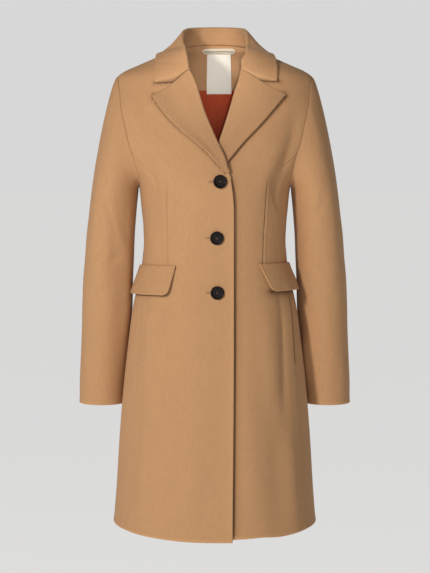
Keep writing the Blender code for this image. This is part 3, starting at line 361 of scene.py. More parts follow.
def overlap_lift(side, x, height):
    """How far a front stands out of the body's surface: the wearer's right front lies over
    the left one, and they part further where the under lapel ends between them."""
    spread = LAPEL_SPREAD * np.exp(
        -((height - LAPEL_SPREAD_HEIGHT) / LAPEL_SPREAD_REACH)**2)
    faded = fade(x, *OVERLAP_FADES[side])
    if side == "right":
        return (OVERLAP_OUT + spread) * faded
    return -(OVERLAP_IN + spread) * (1 - faded)


def armhole(side, step):
    """Angle and height of the armhole's edge, at a step from 0 at the shoulder tip through
    180 at the underarm to 360."""
    step = np.radians(np.asarray(step, float))
    reach = np.where(np.sin(step) > 0, -ARMHOLE_FRONT_REACH, ARMHOLE_BACK_REACH)
    angle = 90.0 + reach * np.abs(np.sin(step))**ARMHOLE_ROUNDNESS
    height = ARMHOLE_MID_HEIGHT + ARMHOLE_HALF_HEIGHT * np.cos(step)
    return SIDES[side] * angle, height


def visible_edge(side, height):
    """x of the front edge or roll line as it is seen."""
    return read_table(FRONT_EDGE, side, height)


def cloth_edge(side, height):
    """x where the front panel ends: behind the rolled edge above the break, and at the
    visible edge below it."""
    set_back = ROLL_REACH * fade(height, BREAK_LOW, BREAK_HIGH)
    return visible_edge(side, height) + SIDES[side] * set_back


def shoulder_line(side, share):
    """x and height of the shoulder seam, from the neck point at 0 to the tip at 1."""
    share = np.asarray(share, float)
    height = NECK_POINT_HEIGHT + (SHOULDER_TIP_HEIGHT - NECK_POINT_HEIGHT) * share
    return SIDES[side] * read_table(BODY, "half_width", height), height


def height_share(heights):
    """How far up each row is, 0 to 1, weighted so that the top edge's shape is kept near
    the top."""
    heights = np.asarray(heights)
    share = (heights - heights[0]) / (heights[-1] - heights[0])
    return share**3


def rolled_edge(start, away, outward, radius, count):
    """Half circle at mid thickness that turns a piece over: from start, against away, and
    back above itself.  One row of points for each row of start."""
    turn = np.linspace(-np.pi / 2, np.pi / 2, count + 1)[None, :, None]
    radius = np.asarray(radius)[..., None, None] + np.zeros((len(start), 1, 1))
    middle = start[:, None] + outward[:, None] * radius
    return middle + radius * (np.sin(turn) * outward[:, None] - np.cos(turn) * away[:, None])


OFF_CENTRE = 1e-6        # keeps the neckline's first point on its own side


def neckline(side):
    """Angle and height of the neckline's points, from the centre back to the gorge."""
    back = np.array(BACK_NECK)
    front = np.array(FRONT_NECK[::-1])
    gorge_x = abs(cloth_edge(side, np.array(GORGE_HEIGHT)))
    angle = np.concatenate((
        angle_of(back[:, 0] + OFF_CENTRE, back[:, 1], back=True), [90.0],
        angle_of(front[:, 1], front[:, 0]),
        [float(angle_of(gorge_x, np.array(GORGE_HEIGHT)))]))
    height = np.concatenate((back[:, 1], [NECK_POINT_HEIGHT], front[:, 0], [GORGE_HEIGHT]))
    return SIDES[side] * angle, height


# ================================================================ grids of points
STEP = 0.0040            # spacing of the points on the large panels
FINE = 0.0022            # on collar, lapels and flaps
END_TICKS = (0.0, 0.0002, 0.0006, 0.0011, 0.0018, 0.0028)
SEAM_OVER = 0.0003       # how far each panel passes its seam line, so that no light comes through
DENSE = 24               # points between two rows of the pattern where its length is measured
SWELL_REACH = 0.0065     # how far from a folded edge its extra layers show
PANEL_ROWS = 22          # rows of the pattern from the hem to the shoulder
BACK_TOP_COLUMNS = 13    # columns of the back's pattern at the top
NECK_COLUMNS = 5         # and those of them that lie along the neckline

# round is how far from its edge a piece is rounded off, swell how much thicker it is there.
Rim = namedtuple("Rim", "round swell")
SEAM = Rim(0.0017, 0.0)
FREE = Rim(0.0024, 0.0007)
FOLDED_RIM = Rim(0.0021, 0.0)
HIDDEN_RIM = Rim(0.0008, 0.0)
PANEL_RIMS = {"left": SEAM, "right": SEAM, "low": FREE, "high": SEAM}


def all_round(size):
    """The same plain rim on all four edges, rounded by size."""
    return dict.fromkeys(("left", "right", "low", "high"), Rim(size, 0.0))


def ticks(length, step):
    """Positions along a length: close together near both ends and evenly spaced between."""
    ends = np.array(END_TICKS)
    count = max(int((length - 2 * ends[-1]) / step), 2)
    middle = np.linspace(ends[-1], length - ends[-1], count + 1)[1:-1]
    return np.concatenate((ends, middle, length - ends[::-1]))


def shares(length, step):
    """The same positions as shares of the length, 0 to 1."""
    return ticks(length, step) / length


def for_each(rows, columns):
    """The same columns for each row."""
    return np.broadcast_to(columns, (len(rows), len(columns)))


def run_length(points, axis=0):
    """Distance travelled along a row of points, from 0."""
    moved = np.linalg.norm(np.diff(points, axis=axis), axis=-1)
    first = np.zeros_like(np.take(moved, [0], axis=axis))
    return np.cumsum(np.concatenate((first, moved), axis=axis), axis=axis)


def read_points(at, stations, points):
    """Points at other stations along a line of points."""
    return np.stack([np.interp(at, stations, points[:, axis]) for axis in range(3)], axis=-1)


def pattern_rows(edge, last):
    """Row numbers, up to the last one, at which a panel is worked out: even steps along its
    edge, which is a function of the row number."""
    dense = np.linspace(0, last, last * DENSE + 1)
    length = run_length(edge(dense))
    return np.interp(ticks(length[-1], STEP), length, dense)


def patch(low, high, left, right, across, up):
    """Surface patch between four boundary curves: low and high are functions of across, a
    grid from 0 to 1; left and right have one point for each row; up says how far each row is
    from the low boundary."""
    u = across[..., None]
    v = up[:, None, None]
    ruled = ((1 - v) * low(across) + v * high(across)
             + (1 - u) * left[:, None] + u * right[:, None])
    corners = ((1 - u) * (1 - v) * left[0] + u * (1 - v) * right[0]
               + (1 - u) * v * left[-1] + u * v * right[-1])
    return ruled - corners


def grid_normals(grid, closed=False):
    """Unit normals of a grid of points, from the directions of its rows and columns."""
    if closed:
        along = np.roll(grid, -1, axis=1) - np.roll(grid, 1, axis=1)
    else:
        along = np.gradient(grid, axis=1)
    return unit(np.cross(along, np.gradient(grid, axis=0)))


def pass_seams(grid, edges):
    """Move the points of the named edges a little further out along the cloth."""
    grid = grid.copy()
    for name, (edge, inner) in (("low", (0, 1)), ("high", (-1, -2))):
        if name in edges:
            grid[edge] += unit(grid[edge] - grid[inner]) * SEAM_OVER
    for name, (edge, inner) in (("left", (0, 1)), ("right", (-1, -2))):
        if name in edges:
            grid[:, edge] += unit(grid[:, edge] - grid[:, inner]) * SEAM_OVER
    return grid


def edge_distances(grid, closed=False):
    """Distance along the cloth from the left, right, low and high edges."""
    along = run_length(grid, axis=1)
    up = run_length(grid, axis=0)
    far = np.full(along.shape, 1.0)
    left, right = (far, far) if closed else (along, along[:, -1:] - along)
    return {"left": left, "right": right, "low": up, "high": up[-1:] - up}


def half_thickness(distances, rims, half):
    """Half the thickness of the cloth: thicker where an edge is folded in, and rounded off
    to nothing at each edge as a quarter of an ellipse."""
    total = half + 0 * distances["left"]
    for name, rim in rims.items():
        total = total + rim.swell * np.exp(-(distances[name] / SWELL_REACH)**2)
    for name, rim in rims.items():
        near = np.clip(distances[name] / rim.round, 0.0, 1.0)
        total = total * np.sqrt(np.clip(1 - (1 - near)**2, 0.0, 1.0))
    return total


# ================================================================ meshes
def cells(number, closed=False):
    """Four-cornered faces of a grid of point numbers."""
    if closed:
        number = np.concatenate((number, number[:, :1]), axis=1)
    return np.stack(
        (number[:-1, :-1], number[:-1, 1:], number[1:, 1:], number[1:, :-1]), -1).reshape(-1, 4)


def put_in(name, points, faces, uv, materials, slots=None, wear=None):
    """Object from whole arrays: points, four-cornered faces, a texture place for each corner
    of each face, and for each point how near it is to a worn edge, above 0, and how deep
    its painted shade is, below 0."""
    mesh = bpy.data.meshes.new(name)
    mesh.vertices.add(len(points))
    mesh.vertices.foreach_set("co", np.ascontiguousarray(points, np.float32).ravel())
    mesh.loops.add(faces.size)
    mesh.loops.foreach_set("vertex_index", np.ascontiguousarray(faces, np.int32).ravel())
    mesh.polygons.add(len(faces))
    mesh.polygons.foreach_set("loop_start", np.arange(0, faces.size, 4, dtype=np.int32))
    layer = mesh.uv_layers.new(name="cloth")
    layer.data.foreach_set("uv", np.ascontiguousarray(uv, np.float32).ravel())
    for material in materials:
        mesh.materials.append(material)
    if slots is not None:
        mesh.polygons.foreach_set("material_index", np.ascontiguousarray(slots, np.int32))
    shade = mesh.attributes.new("wear", "FLOAT", "POINT")
    worn_and_shaded = np.zeros(len(points)) if wear is None else wear
    shade.data.foreach_set("value", np.ascontiguousarray(worn_and_shaded, np.float32))
    mesh.update(calc_edges=True)
    mesh.validate()
    mesh.shade_smooth()
    piece = bpy.data.objects.new(name, mesh)
    bpy.context.scene.collection.objects.link(piece)
    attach(piece, "root")
    return piece


def straight(start, end):
    """Straight boundary of a patch, between two of its corners."""
    def line(across):
        return start + (end - start) * across[..., None]
    return line


def skin(rows, columns, closed=False):
    """Which points of two grids are kept when the second one shares the points of the first
    one's rim, and the faces of both, with the second grid's turned over."""
    count = rows * columns
    number = np.arange(count).reshape(rows, columns)
    rim = np.zeros((rows, columns), bool)
    rim[[0, -1]] = True
    if not closed:
        rim[:, [0, -1]] = True
    keep = np.concatenate((np.ones(count, bool), ~rim.ravel()))
    under = np.where(rim, number, number + count)
    faces = np.concatenate((cells(number, closed), cells(under, closed)[:, ::-1]))
    return keep, (np.cumsum(keep) - 1)[faces]


def texture_corners(place):
    """Texture places at the corners of both grids' faces, from a grid of places."""
    corner = cells(np.arange(place.shape[0] * place.shape[1]).reshape(place.shape[:2]))
    return place.reshape(-1, 2)[np.concatenate((corner, corner[:, ::-1]))]


def faced_out(points, faces, uv, face, outward):
    """Turns all faces over if the one with this number looks against outward."""
    a, b, c = points[faces[face, :3]]
    turned = np.cross(b - a, c - a) @ outward < 0
    return (faces[:, ::-1], uv[:, ::-1]) if turned else (faces, uv)


def two_sided(name, outer, inner, materials, closed=False, inside=None, wear=0.0, shade=0.0):
    """Closed skin of a piece of cloth, from its outer and its inner grid of points, which
    share the points of the rim.  Texture places are metres along and up the cloth.  Each
    place gets how worn it is, less the painted shade that its outer side has beside seams
    and edges."""
    rows, columns = outer.shape[:2]
    keep, faces = skin(rows, columns, closed)
    points = np.concatenate((outer.reshape(-1, 3), inner.reshape(-1, 3)))[keep]
    wide = np.concatenate((outer, outer[:, :1]), axis=1) if closed else outer
    uv = texture_corners(np.stack((run_length(wide, axis=1), run_length(wide, axis=0)), axis=-1))
    outer_faces = len(faces) // 2
    faces, uv = faced_out(points, faces, uv, outer_faces // 2,
                          (outer - inner)[rows // 2, columns // 2])
    slots = np.zeros((2, outer_faces), int)
    if inside is not None:
        slots[1] = inside.reshape(-1)
    worn_and_shaded = wear + np.zeros((rows, columns))
    worn_and_shaded = np.concatenate(((worn_and_shaded - shade).ravel(), worn_and_shaded.ravel()))[keep]
    return put_in(name, points, faces, uv, materials, slots.ravel(), worn_and_shaded)


WORN_REACH = 0.0040      # how far from a free edge the cloth is worn pale
SEAM_LINE = 0.0012       # half width of the painted shade along a seam
SEAM_SHADE = 0.42        # and how dark that painted shade is


def cloth_piece(name, middle, rims, materials, half=WOOL / 2, groove=0.0, closed=False,
                inside=None, outward=None, shade=0.0, seam_shade=SEAM_SHADE):
    """Piece of cloth round its middle surface.  groove is how far its outer side alone is
    raised or sunk; outward is a direction that points out of the outer side, or else away
    from the middle of the coat; shade is the painted shade of the outer side where another
    piece lies on it, and each seam adds a painted line of shade."""
    normals = grid_normals(middle, closed)
    outward = middle * (1, 1, 0) if outward is None else outward
    normals = normals * np.sign(np.mean((normals * outward).sum(-1)))
    distances = edge_distances(middle, closed)
    thick = half_thickness(distances, rims, half)[..., None]
    free = [distances[edge] for edge, rim in rims.items() if rim.swell > 0]
    wear = np.exp(-(np.minimum.reduce(free) / WORN_REACH)**2) if free else 0.0
    for edge, rim in rims.items():
        if rim is SEAM:
            shade = np.maximum(shade, seam_shade * np.exp(-(distances[edge] / SEAM_LINE)**2))
    fade_out = np.minimum(thick / np.max(half), 1.0)
    groove = np.asarray(groove)[..., None] if np.ndim(groove) else groove
    return two_sided(name, middle + normals * (thick + groove * fade_out),
                     middle - normals * thick, materials, closed, inside, wear, shade)


# ================================================================ painted shade
# Each pair is how far a shade reaches in metres, and how dark it is at the edge.
LAPEL_SHADE = {"right": (0.0016, 0.85), "left": (0.0022, 1.0)}
COLLAR_END_SHADE = {"right": (0.0022, 0.95), "left": (0.0026, 0.95)}
FLAP_SHADE = {"right": (0.0020, 0.60), "left": (0.0070, 1.0)}
OVERLAP_SHADE = (0.0036, 1.0)
OVERLAP_SHADE_TOP = BREAK_LOW - 0.01   # its upper end, just below the lapel
FLAP_EDGE_POINTS, FRONT_EDGE_POINTS = 40, 60   # points along each of these edges
COVER_REACH = 0.005      # how far a shade reaches under the piece that lies on the cloth
FLAP_SHADE_START = 0.04  # share of the flap's lower edge that casts none
SLIT_SHADE = {"right": (0.0016, 0.30), "left": (0.0038, 1.0)}
SLIT_LOW, SLIT_HIGH = -0.583, -0.430
SLIT_FADES = (0.004, 0.010)   # lengths over which the slit begins and ends
# The seams' painted shade is deeper on the wearer's left, which is turned from the key light.
PANEL_SHADE = {"right": 0.16, "left": 0.42}   # painted shade of the seams of fronts and side panels
BODY_ARC = 0.0023        # metres round the body for a degree
SLEEVE_ARC = 0.00092     # and round a sleeve


def beside(angle, height, line, reach, strength):
    """Shade of the cloth beside the edge of a piece that lies on it, by the distance from
    line, the edge's angles and heights, whose covered side is on the left: strength at the
    edge, and less by the power of distance over reach away from it."""
    at = np.stack((angle * BODY_ARC, height), axis=-1)[..., None, :]
    points = np.stack((line[0] * BODY_ARC, line[1]), axis=-1)
    start, along = points[:-1], points[1:] - points[:-1]
    share = np.clip(((at - start) * along).sum(-1) / (along**2).sum(-1), 0.0, 1.0)
    gap = at - start - along * share[..., None]
    distance = np.sqrt((gap**2).sum(-1))
    nearest = np.argmin(distance, axis=-1)[..., None]
    turn = along[:, 0] * gap[..., 1] - along[:, 1] * gap[..., 0]
    covered = np.take_along_axis(turn, nearest, -1)[..., 0] > 0
    distance = np.take_along_axis(distance, nearest, -1)[..., 0]
    return strength * np.exp(-np.where(covered, (distance / COVER_REACH)**2, distance / reach))


def outline_of(points):
    """Angles and heights of a line of points."""
    return angle_of(points[:, 0], points[:, 2]), points[:, 2]


def cover_shade(side, angle, height):
    """Shade under the edges of the lapel, the collar's end, the flap and the front that
    laps over, all by their own lines."""
    collar_end = half_collar(side)[-1, STAND_STEPS:]
    free_end = int(len(collar_end) * (1 - NOTCH_SHARE))
    lower_edge = flap_plan(side, np.linspace(FLAP_SHADE_START, 1.0, FLAP_EDGE_POINTS),
                           np.ones(1))[0]
    shades = [
        (outline_of(lapel_surface(side)[0][:, -1]), LAPEL_SHADE[side]),
        (outline_of(collar_end[-free_end:]), COLLAR_END_SHADE[side]),
        (flap_place(side, *lower_edge.T), FLAP_SHADE[side]),
    ]
    if side == "right":
        shades = [([part[::-1] for part in line], cast) for line, cast in shades]
    else:
        edge = np.linspace(HEM_HEIGHT, OVERLAP_SHADE_TOP, FRONT_EDGE_POINTS)
        shades.append(((angle_of(visible_edge("right", edge), edge), edge), OVERLAP_SHADE))
    return np.maximum.reduce([beside(angle, height, line, *cast) for line, cast in shades])


def slit_shade(side, distance, height):
    """Painted shade in the pocket's slit along the side-front seam below the flap."""
    low, high = SLIT_FADES
    window = (fade(height, SLIT_LOW, SLIT_LOW + low)
              * (1 - fade(height, SLIT_HIGH, SLIT_HIGH + high)))
    line, depth = SLIT_SHADE[side]
    return depth * window * np.exp(-(distance / line)**2)


# ================================================================ folds and creases
Fold = namedtuple("Fold", "angle_a height_a angle_b height_b width depth bow")

# Soft ridges and troughs of the body, from one end to the other.  Angles count round the
# body from the front centre, positive towards the wearer's left.
BODY_FOLDS = rows_of(Fold,
    # the wearer's left front, beside and below the armhole
    (44.0, -0.085, 54.0, -0.315, 0.0125, -0.0052, 0.002),
    (58.0, -0.215, 50.0, -0.290, 0.0040, -0.0014, 0.002),
    (33.0, -0.140, 37.0, -0.300, 0.0140, 0.0022, -0.003),
    # the wearer's right front
    (-52.0, -0.120, -44.0, -0.290, 0.0100, -0.0024, -0.003),
    (-42.0, -0.200, -40.0, -0.400, 0.0110, 0.0018, 0.002),
    # waist, both sides
    (-52.0, -0.352, -30.0, -0.338, 0.0080, -0.0010, 0.002),
    (54.0, -0.345, 30.0, -0.330, 0.0080, -0.0010, -0.002),
    (-112.0, -0.350, -76.0, -0.362, 0.0140, -0.0012, 0.003),
    (-108.0, -0.325, -80.0, -0.318, 0.0120, -0.0008, -0.002),
    (114.0, -0.346, 78.0, -0.360, 0.0140, -0.0012, -0.003),
    (110.0, -0.318, 82.0, -0.310, 0.0120, -0.0008, 0.002),
    (-128.0, -0.340, -165.0, -0.356, 0.0130, -0.0024, 0.004),
    (-134.0, -0.318, -158.0, -0.306, 0.0110, -0.0016, -0.003),
    (126.0, -0.342, 168.0, -0.352, 0.0130, -0.0026, -0.004),
    (136.0, -0.316, 160.0, -0.300, 0.0110, -0.0014, 0.003),
    # skirt of the fronts
    (55.0, -0.405, 46.0, -0.720, 0.0085, -0.0046, 0.002),
    (40.0, -0.430, 37.0, -0.700, 0.0150, 0.0026, 0.003),
    (20.0, -0.500, 22.0, -0.940, 0.0190, 0.0030, 0.004),
    (37.0, -0.620, 36.0, -0.960, 0.0160, -0.0026, -0.004),
    (52.0, -0.640, 52.0, -0.960, 0.0130, 0.0024, 0.003),
    (-46.0, -0.380, -47.0, -0.660, 0.0120, 0.0026, 0.003),
    (-28.0, -0.440, -31.0, -0.760, 0.0150, -0.0026, -0.003),
    (-43.0, -0.580, -42.0, -0.980, 0.0160, 0.0036, 0.004),
    (-16.0, -0.520, -14.0, -0.960, 0.0200, 0.0016, -0.004),
    (-3.0, -0.700, -4.0, -0.960, 0.0120, -0.0014, 0.002),
    # skirt of the sides
    (-74.0, -0.440, -78.0, -0.890, 0.0230, 0.0030, 0.005),
    (-98.0, -0.470, -102.0, -0.890, 0.0220, -0.0026, -0.004),
    (76.0, -0.450, 80.0, -0.890, 0.0230, 0.0028, -0.006),
    (100.0, -0.460, 104.0, -0.890, 0.0220, -0.0026, 0.004),
    # skirt of the back
    (-138.0, -0.430, -140.0, -0.880, 0.0260, 0.0034, 0.006),
    (-158.0, -0.470, -160.0, -0.890, 0.0220, -0.0024, -0.004),
    (142.0, -0.440, 139.0, -0.890, 0.0260, 0.0032, -0.005),
    (162.0, -0.500, 160.0, -0.885, 0.0220, -0.0022, 0.003),
    # shoulder blades and back of the armholes
    (-132.0, -0.110, -140.0, -0.265, 0.0140, -0.0026, 0.004),
    (133.0, -0.120, 141.0, -0.255, 0.0140, -0.0026, -0.004),
    (-150.0, -0.105, -154.0, -0.250, 0.0220, 0.0020, -0.003),
    (151.0, -0.100, 153.0, -0.245, 0.0220, 0.0020, 0.003),
)
# Folds of the sleeves: angles count round the sleeve from its outer side over the front.
SLEEVE_FOLDS = {
    "right": rows_of(Fold,
        (20.0, -0.130, 34.0, -0.300, 0.0090, -0.0016, 0.004),
        (62.0, -0.250, 118.0, -0.345, 0.0090, -0.0024, 0.006),
        (80.0, -0.285, 140.0, -0.400, 0.0100, 0.0018, -0.005),
        (70.0, -0.400, 130.0, -0.372, 0.0100, -0.0020, 0.005),
        (48.0, -0.470, 120.0, -0.440, 0.0120, -0.0018, -0.005),
        (35.0, -0.180, 52.0, -0.420, 0.0140, 0.0016, -0.004),
        (300.0, -0.380, 230.0, -0.350, 0.0110, -0.0024, 0.004),
        (310.0, -0.430, 220.0, -0.410, 0.0120, -0.0026, -0.005),
        (290.0, -0.300, 235.0, -0.270, 0.0110, -0.0020, 0.004),
        (300.0, -0.480, 240.0, -0.500, 0.0140, 0.0018, 0.004),
        (60.0, -0.560, 84.0, -0.650, 0.0120, -0.0012, 0.003),
        (145.0, -0.190, 148.0, -0.640, 0.0150, 0.0064, 0.003),
        (98.0, -0.200, 104.0, -0.480, 0.0120, -0.0016, -0.003),
    ),
    "left": rows_of(Fold,
        (24.0, -0.140, 38.0, -0.310, 0.0090, -0.0016, 0.004),
        (66.0, -0.260, 122.0, -0.330, 0.0090, -0.0022, 0.006),
        (76.0, -0.300, 138.0, -0.390, 0.0100, 0.0016, -0.005),
        (64.0, -0.410, 128.0, -0.384, 0.0100, -0.0022, 0.005),
        (52.0, -0.480, 118.0, -0.446, 0.0120, -0.0016, -0.005),
        (40.0, -0.190, 56.0, -0.430, 0.0140, 0.0016, -0.004),
        (296.0, -0.390, 226.0, -0.358, 0.0110, -0.0024, 0.004),
        (312.0, -0.438, 224.0, -0.420, 0.0120, -0.0024, -0.005),
        (288.0, -0.305, 232.0, -0.280, 0.0110, -0.0020, 0.004),
        (304.0, -0.500, 244.0, -0.515, 0.0140, 0.0016, 0.004),
        (58.0, -0.570, 82.0, -0.655, 0.0120, -0.0012, 0.003),
        (143.0, -0.510, 146.0, -0.645, 0.0150, 0.0045, -0.002),
    ),
}

FOLD_TAPER = 0.4         # share of a fold's length over which each end dies away


def half_turned(angle):
    """The same angle between -180 and 180 degrees."""
    return (angle + 180.0) % 360.0 - 180.0


def fold_field(angle, height, folds, arc):
    """Sum of the folds: each has the cross-section of a bell curve, along a line that bows
    sideways, and dies away towards both ends."""
    total = np.zeros(np.broadcast(angle, height).shape)
    for fold in folds:
        run = np.array((half_turned(fold.angle_b - fold.angle_a) * arc,
                        fold.height_b - fold.height_a))
        length = np.hypot(*run)
        x = half_turned(angle - fold.angle_a) * arc
        z = height - fold.height_a
        share = (x * run[0] + z * run[1]) / length**2
        inside = np.clip(share, 0.0, 1.0)
        aside = (x * run[1] - z * run[0]) / length - fold.bow * 4 * inside * (1 - inside)
        taper = fade(share, 0.0, FOLD_TAPER) * (1 - fade(share, 1 - FOLD_TAPER, 1.0))
        total += fold.depth * taper * np.exp(-(aside / fold.width)**2)
    return total


# Darts of the fronts, as seen from the front.
Dart = namedtuple("Dart", "height right left")
DARTS = rows_of(Dart,
    (HEM_HEIGHT, -0.0960, 0.0960), (-0.395, -0.0868, 0.0892), (-0.300, -0.0868, 0.0930),
    (-0.235, -0.0880, 0.0966), (-0.100, -0.0960, 0.1060), (0.010, -0.1040, 0.1120),
)
DART_TOP, DART_BOTTOM = -0.236, -0.402
DART_TOP_FADE, DART_BOTTOM_FADE = 0.022, 0.010
DART_TICKS = (0.0004, 0.0009, 0.0015, 0.0023, 0.0034, 0.0050, 0.0070)
# Painted shade along the dart, deeper on the wearer's left, which is turned from the key light.
DART_SHADE = {"right": 0.10, "left": 0.55}
DART_WIDTH, DART_DEPTH = 0.0011, 0.0012
DART_RIDGE, DART_RIDGE_PLACE, DART_RIDGE_WIDTH = 0.0005, 0.0028, 0.0022
DART_SAMPLES = 61        # places across the front where the dart is looked for
FRONT_WIDTH = 0.150      # of a front, for the spacing of its columns


def dart_run(height):
    """1 along the dart, and less towards its ends."""
    return (fade(height, DART_BOTTOM, DART_BOTTOM + DART_BOTTOM_FADE)
            * (1 - fade(height, DART_TOP - DART_TOP_FADE, DART_TOP)))


def dart_aside(side, x, height):
    """Distance from the dart, as seen from the front, positive towards the side seam."""
    return SIDES[side] * (x - read_table(DARTS, side, height))


def dart_groove(aside, height):
    """The dart's seam: a narrow groove with a soft ridge on its outer side."""
    ridge = DART_RIDGE * np.exp(-((aside - DART_RIDGE_PLACE) / DART_RIDGE_WIDTH)**2)
    return dart_run(height) * (ridge - DART_DEPTH * np.exp(-(aside / DART_WIDTH)**2))


def body_relief(angle, height):
    """Height of the body's folds."""
    return fold_field(angle, height, BODY_FOLDS, BODY_ARC)


# How far the front stands proud of the side body at the side-front seam, and most of all
# at the pocket's slit below the flap.
SeamStep = namedtuple("SeamStep", "height right left")
SEAM_STEPS = rows_of(SeamStep,
    (HEM_HEIGHT, 0.0005, 0.0010), (-0.620, 0.0006, 0.0010), (-0.592, 0.0006, 0.0012),
    (-0.576, 0.0010, 0.0030), (-0.440, 0.0010, 0.0032), (-0.400, 0.0006, 0.0024),
    (-0.280, 0.0004, 0.0020), (-0.245, 0.0001, 0.0006), (-0.190, 0.0, 0.0),
)
SEAM_STEP_REACH = 0.0075   # distance from the seam over which the step dies away
STEP_SHARE = {"front": 0.45, "side": -0.55}   # of the step: the front out, the side panel in


def seam_step(middle, edge, side, share):
    """Moves the cloth beside the side-front seam out, or in where share is negative."""
    near = np.exp(-(edge_distances(middle)[edge] / SEAM_STEP_REACH)**2)
    step = share * read_table(SEAM_STEPS, side, middle[..., 2]) * near
    return middle + body_distance(middle)[1] * step[..., None]


# ================================================================ panels
LAST_SEAM_ROW = len(SEAM_HEIGHTS) - 1
BACK_STEPS = tuple(360.0 - step for step in ARMHOLE_FRONT_STEPS)
SIDE_WIDTH, BACK_WIDTH = 0.16, 0.18   # of side panel and back, for the spacing of their columns
BREAK_FADE = 0.03        # below the break, where the upper front's edge begins to stand off
EDGE_OFF, EDGE_REACH = 0.0034, 0.014   # how far it stands off, and over what width
LEFT_HEM_RISE = 0.0048   # the hem of the front that lies under hangs a little higher
LEFT_HEM_FADE = 0.08     # height over which that dies away
LEFT_HEM_SIDE = (0.08, 0.13)   # x over which it does
FACING_SHARE = 0.40      # of the front's width that is faced with wool on the inside
HEM_FACING_ROWS = 0.40   # rows of the pattern that the turned-up hem covers
NECK_FACING_ROWS = 0.5   # and rows below the neckline that are faced
WOOL_INSIDE, SATIN_INSIDE = 1, 2   # places of the inside's materials in a panel's list


def seam_height(row):
    """Height of a row number that the panels share below the armhole."""
    return np.interp(row, np.arange(LAST_SEAM_ROW + 1), SEAM_HEIGHTS)


def panel_edge(side, seam, steps, row):
    """Angle and height of a panel's outer boundary at a row number: its seam, then the
    armhole."""
    heights = seam_height(row)
    turn = np.interp(row - LAST_SEAM_ROW, np.arange(len(steps)), steps)
    on_seam = row <= LAST_SEAM_ROW
    around, level = armhole(side, turn)
    angle = np.where(on_seam, SIDES[side] * read_table(seam, side, heights), around)
    return angle, np.where(on_seam, heights, level)


def panel_rows(side, seam, steps):
    """Row numbers at which a front or a back is worked out, even along its outer boundary."""
    def outer_edge(row):
        return body_point(*panel_edge(side, seam, steps, row))
    return pattern_rows(outer_edge, PANEL_ROWS)


def panel_middle(angle, height, lift=0.0):
    """Middle surface of a panel whose outer side lies on the body, with its folds."""
    return body_surface(angle, height, lift + body_relief(angle, height) - WOOL / 2)


def edge_plan(side, seam, steps, row):
    """x and height of the same boundary."""
    angle, height = panel_edge(side, seam, steps, row)
    return np.stack((body_point(angle, height)[..., 0], height), axis=-1)


def front_inner_plan(side, row):
    """x and height of the front's inner boundary at a row number: front edge, roll line,
    then neckline."""
    gorge_row = ROWS_BELOW_CHEST - 1 + ROLL_ROWS
    level = SEAM_HEIGHTS[:ROWS_BELOW_CHEST]
    rising = np.linspace(level[-1], GORGE_HEIGHT, ROLL_ROWS + 1)[1:]
    height = np.interp(row, np.arange(gorge_row + 1), np.concatenate((level, rising)))
    edge = np.stack((cloth_edge(side, height), height), axis=-1)
    neck_x = [abs(float(cloth_edge(side, np.array(GORGE_HEIGHT))))]
    neck_x += [x for _, x in FRONT_NECK] + [NECK_POINT_X]
    neck_height = [GORGE_HEIGHT] + [level for level, _ in FRONT_NECK] + [NECK_POINT_HEIGHT]
    index = np.arange(len(neck_x))
    beyond = row - gorge_row
    neck = np.stack((SIDES[side] * smooth_read(index, neck_x, beyond),
                     smooth_read(index, neck_height, beyond)), axis=-1)
    return np.where((row <= gorge_row)[..., None], edge, neck)


def along_dart(side, plan, rows):
    """Columns of the front, drawn aside so that one of them runs along the dart: first how
    far across the dart is in each row, then the columns on either side squeezed to it."""
    even = np.linspace(0.0, 1.0, DART_SAMPLES)
    aside = dart_aside(side, *np.moveaxis(plan(for_each(rows, even)), -1, 0))
    before = np.clip((aside < 0).sum(axis=1), 1, DART_SAMPLES - 1)[:, None]
    low = np.take_along_axis(aside, before - 1, axis=1)
    high = np.take_along_axis(aside, before, axis=1)
    passed = np.clip(-low / (high - low), 0, 1)
    share = even[before - 1] + (even[before] - even[before - 1]) * passed
    middle = share.mean()
    close = np.array(DART_TICKS) / FRONT_WIDTH
    base = shares(FRONT_WIDTH, STEP)
    base = base[np.abs(base - middle) > close[-1] + 0.5 * STEP / FRONT_WIDTH]
    column = np.sort(np.concatenate((base, middle - close, [middle], middle + close)))
    return np.where(column < middle, column * share / middle,
                    1 - (1 - column) * (1 - share) / (1 - middle))


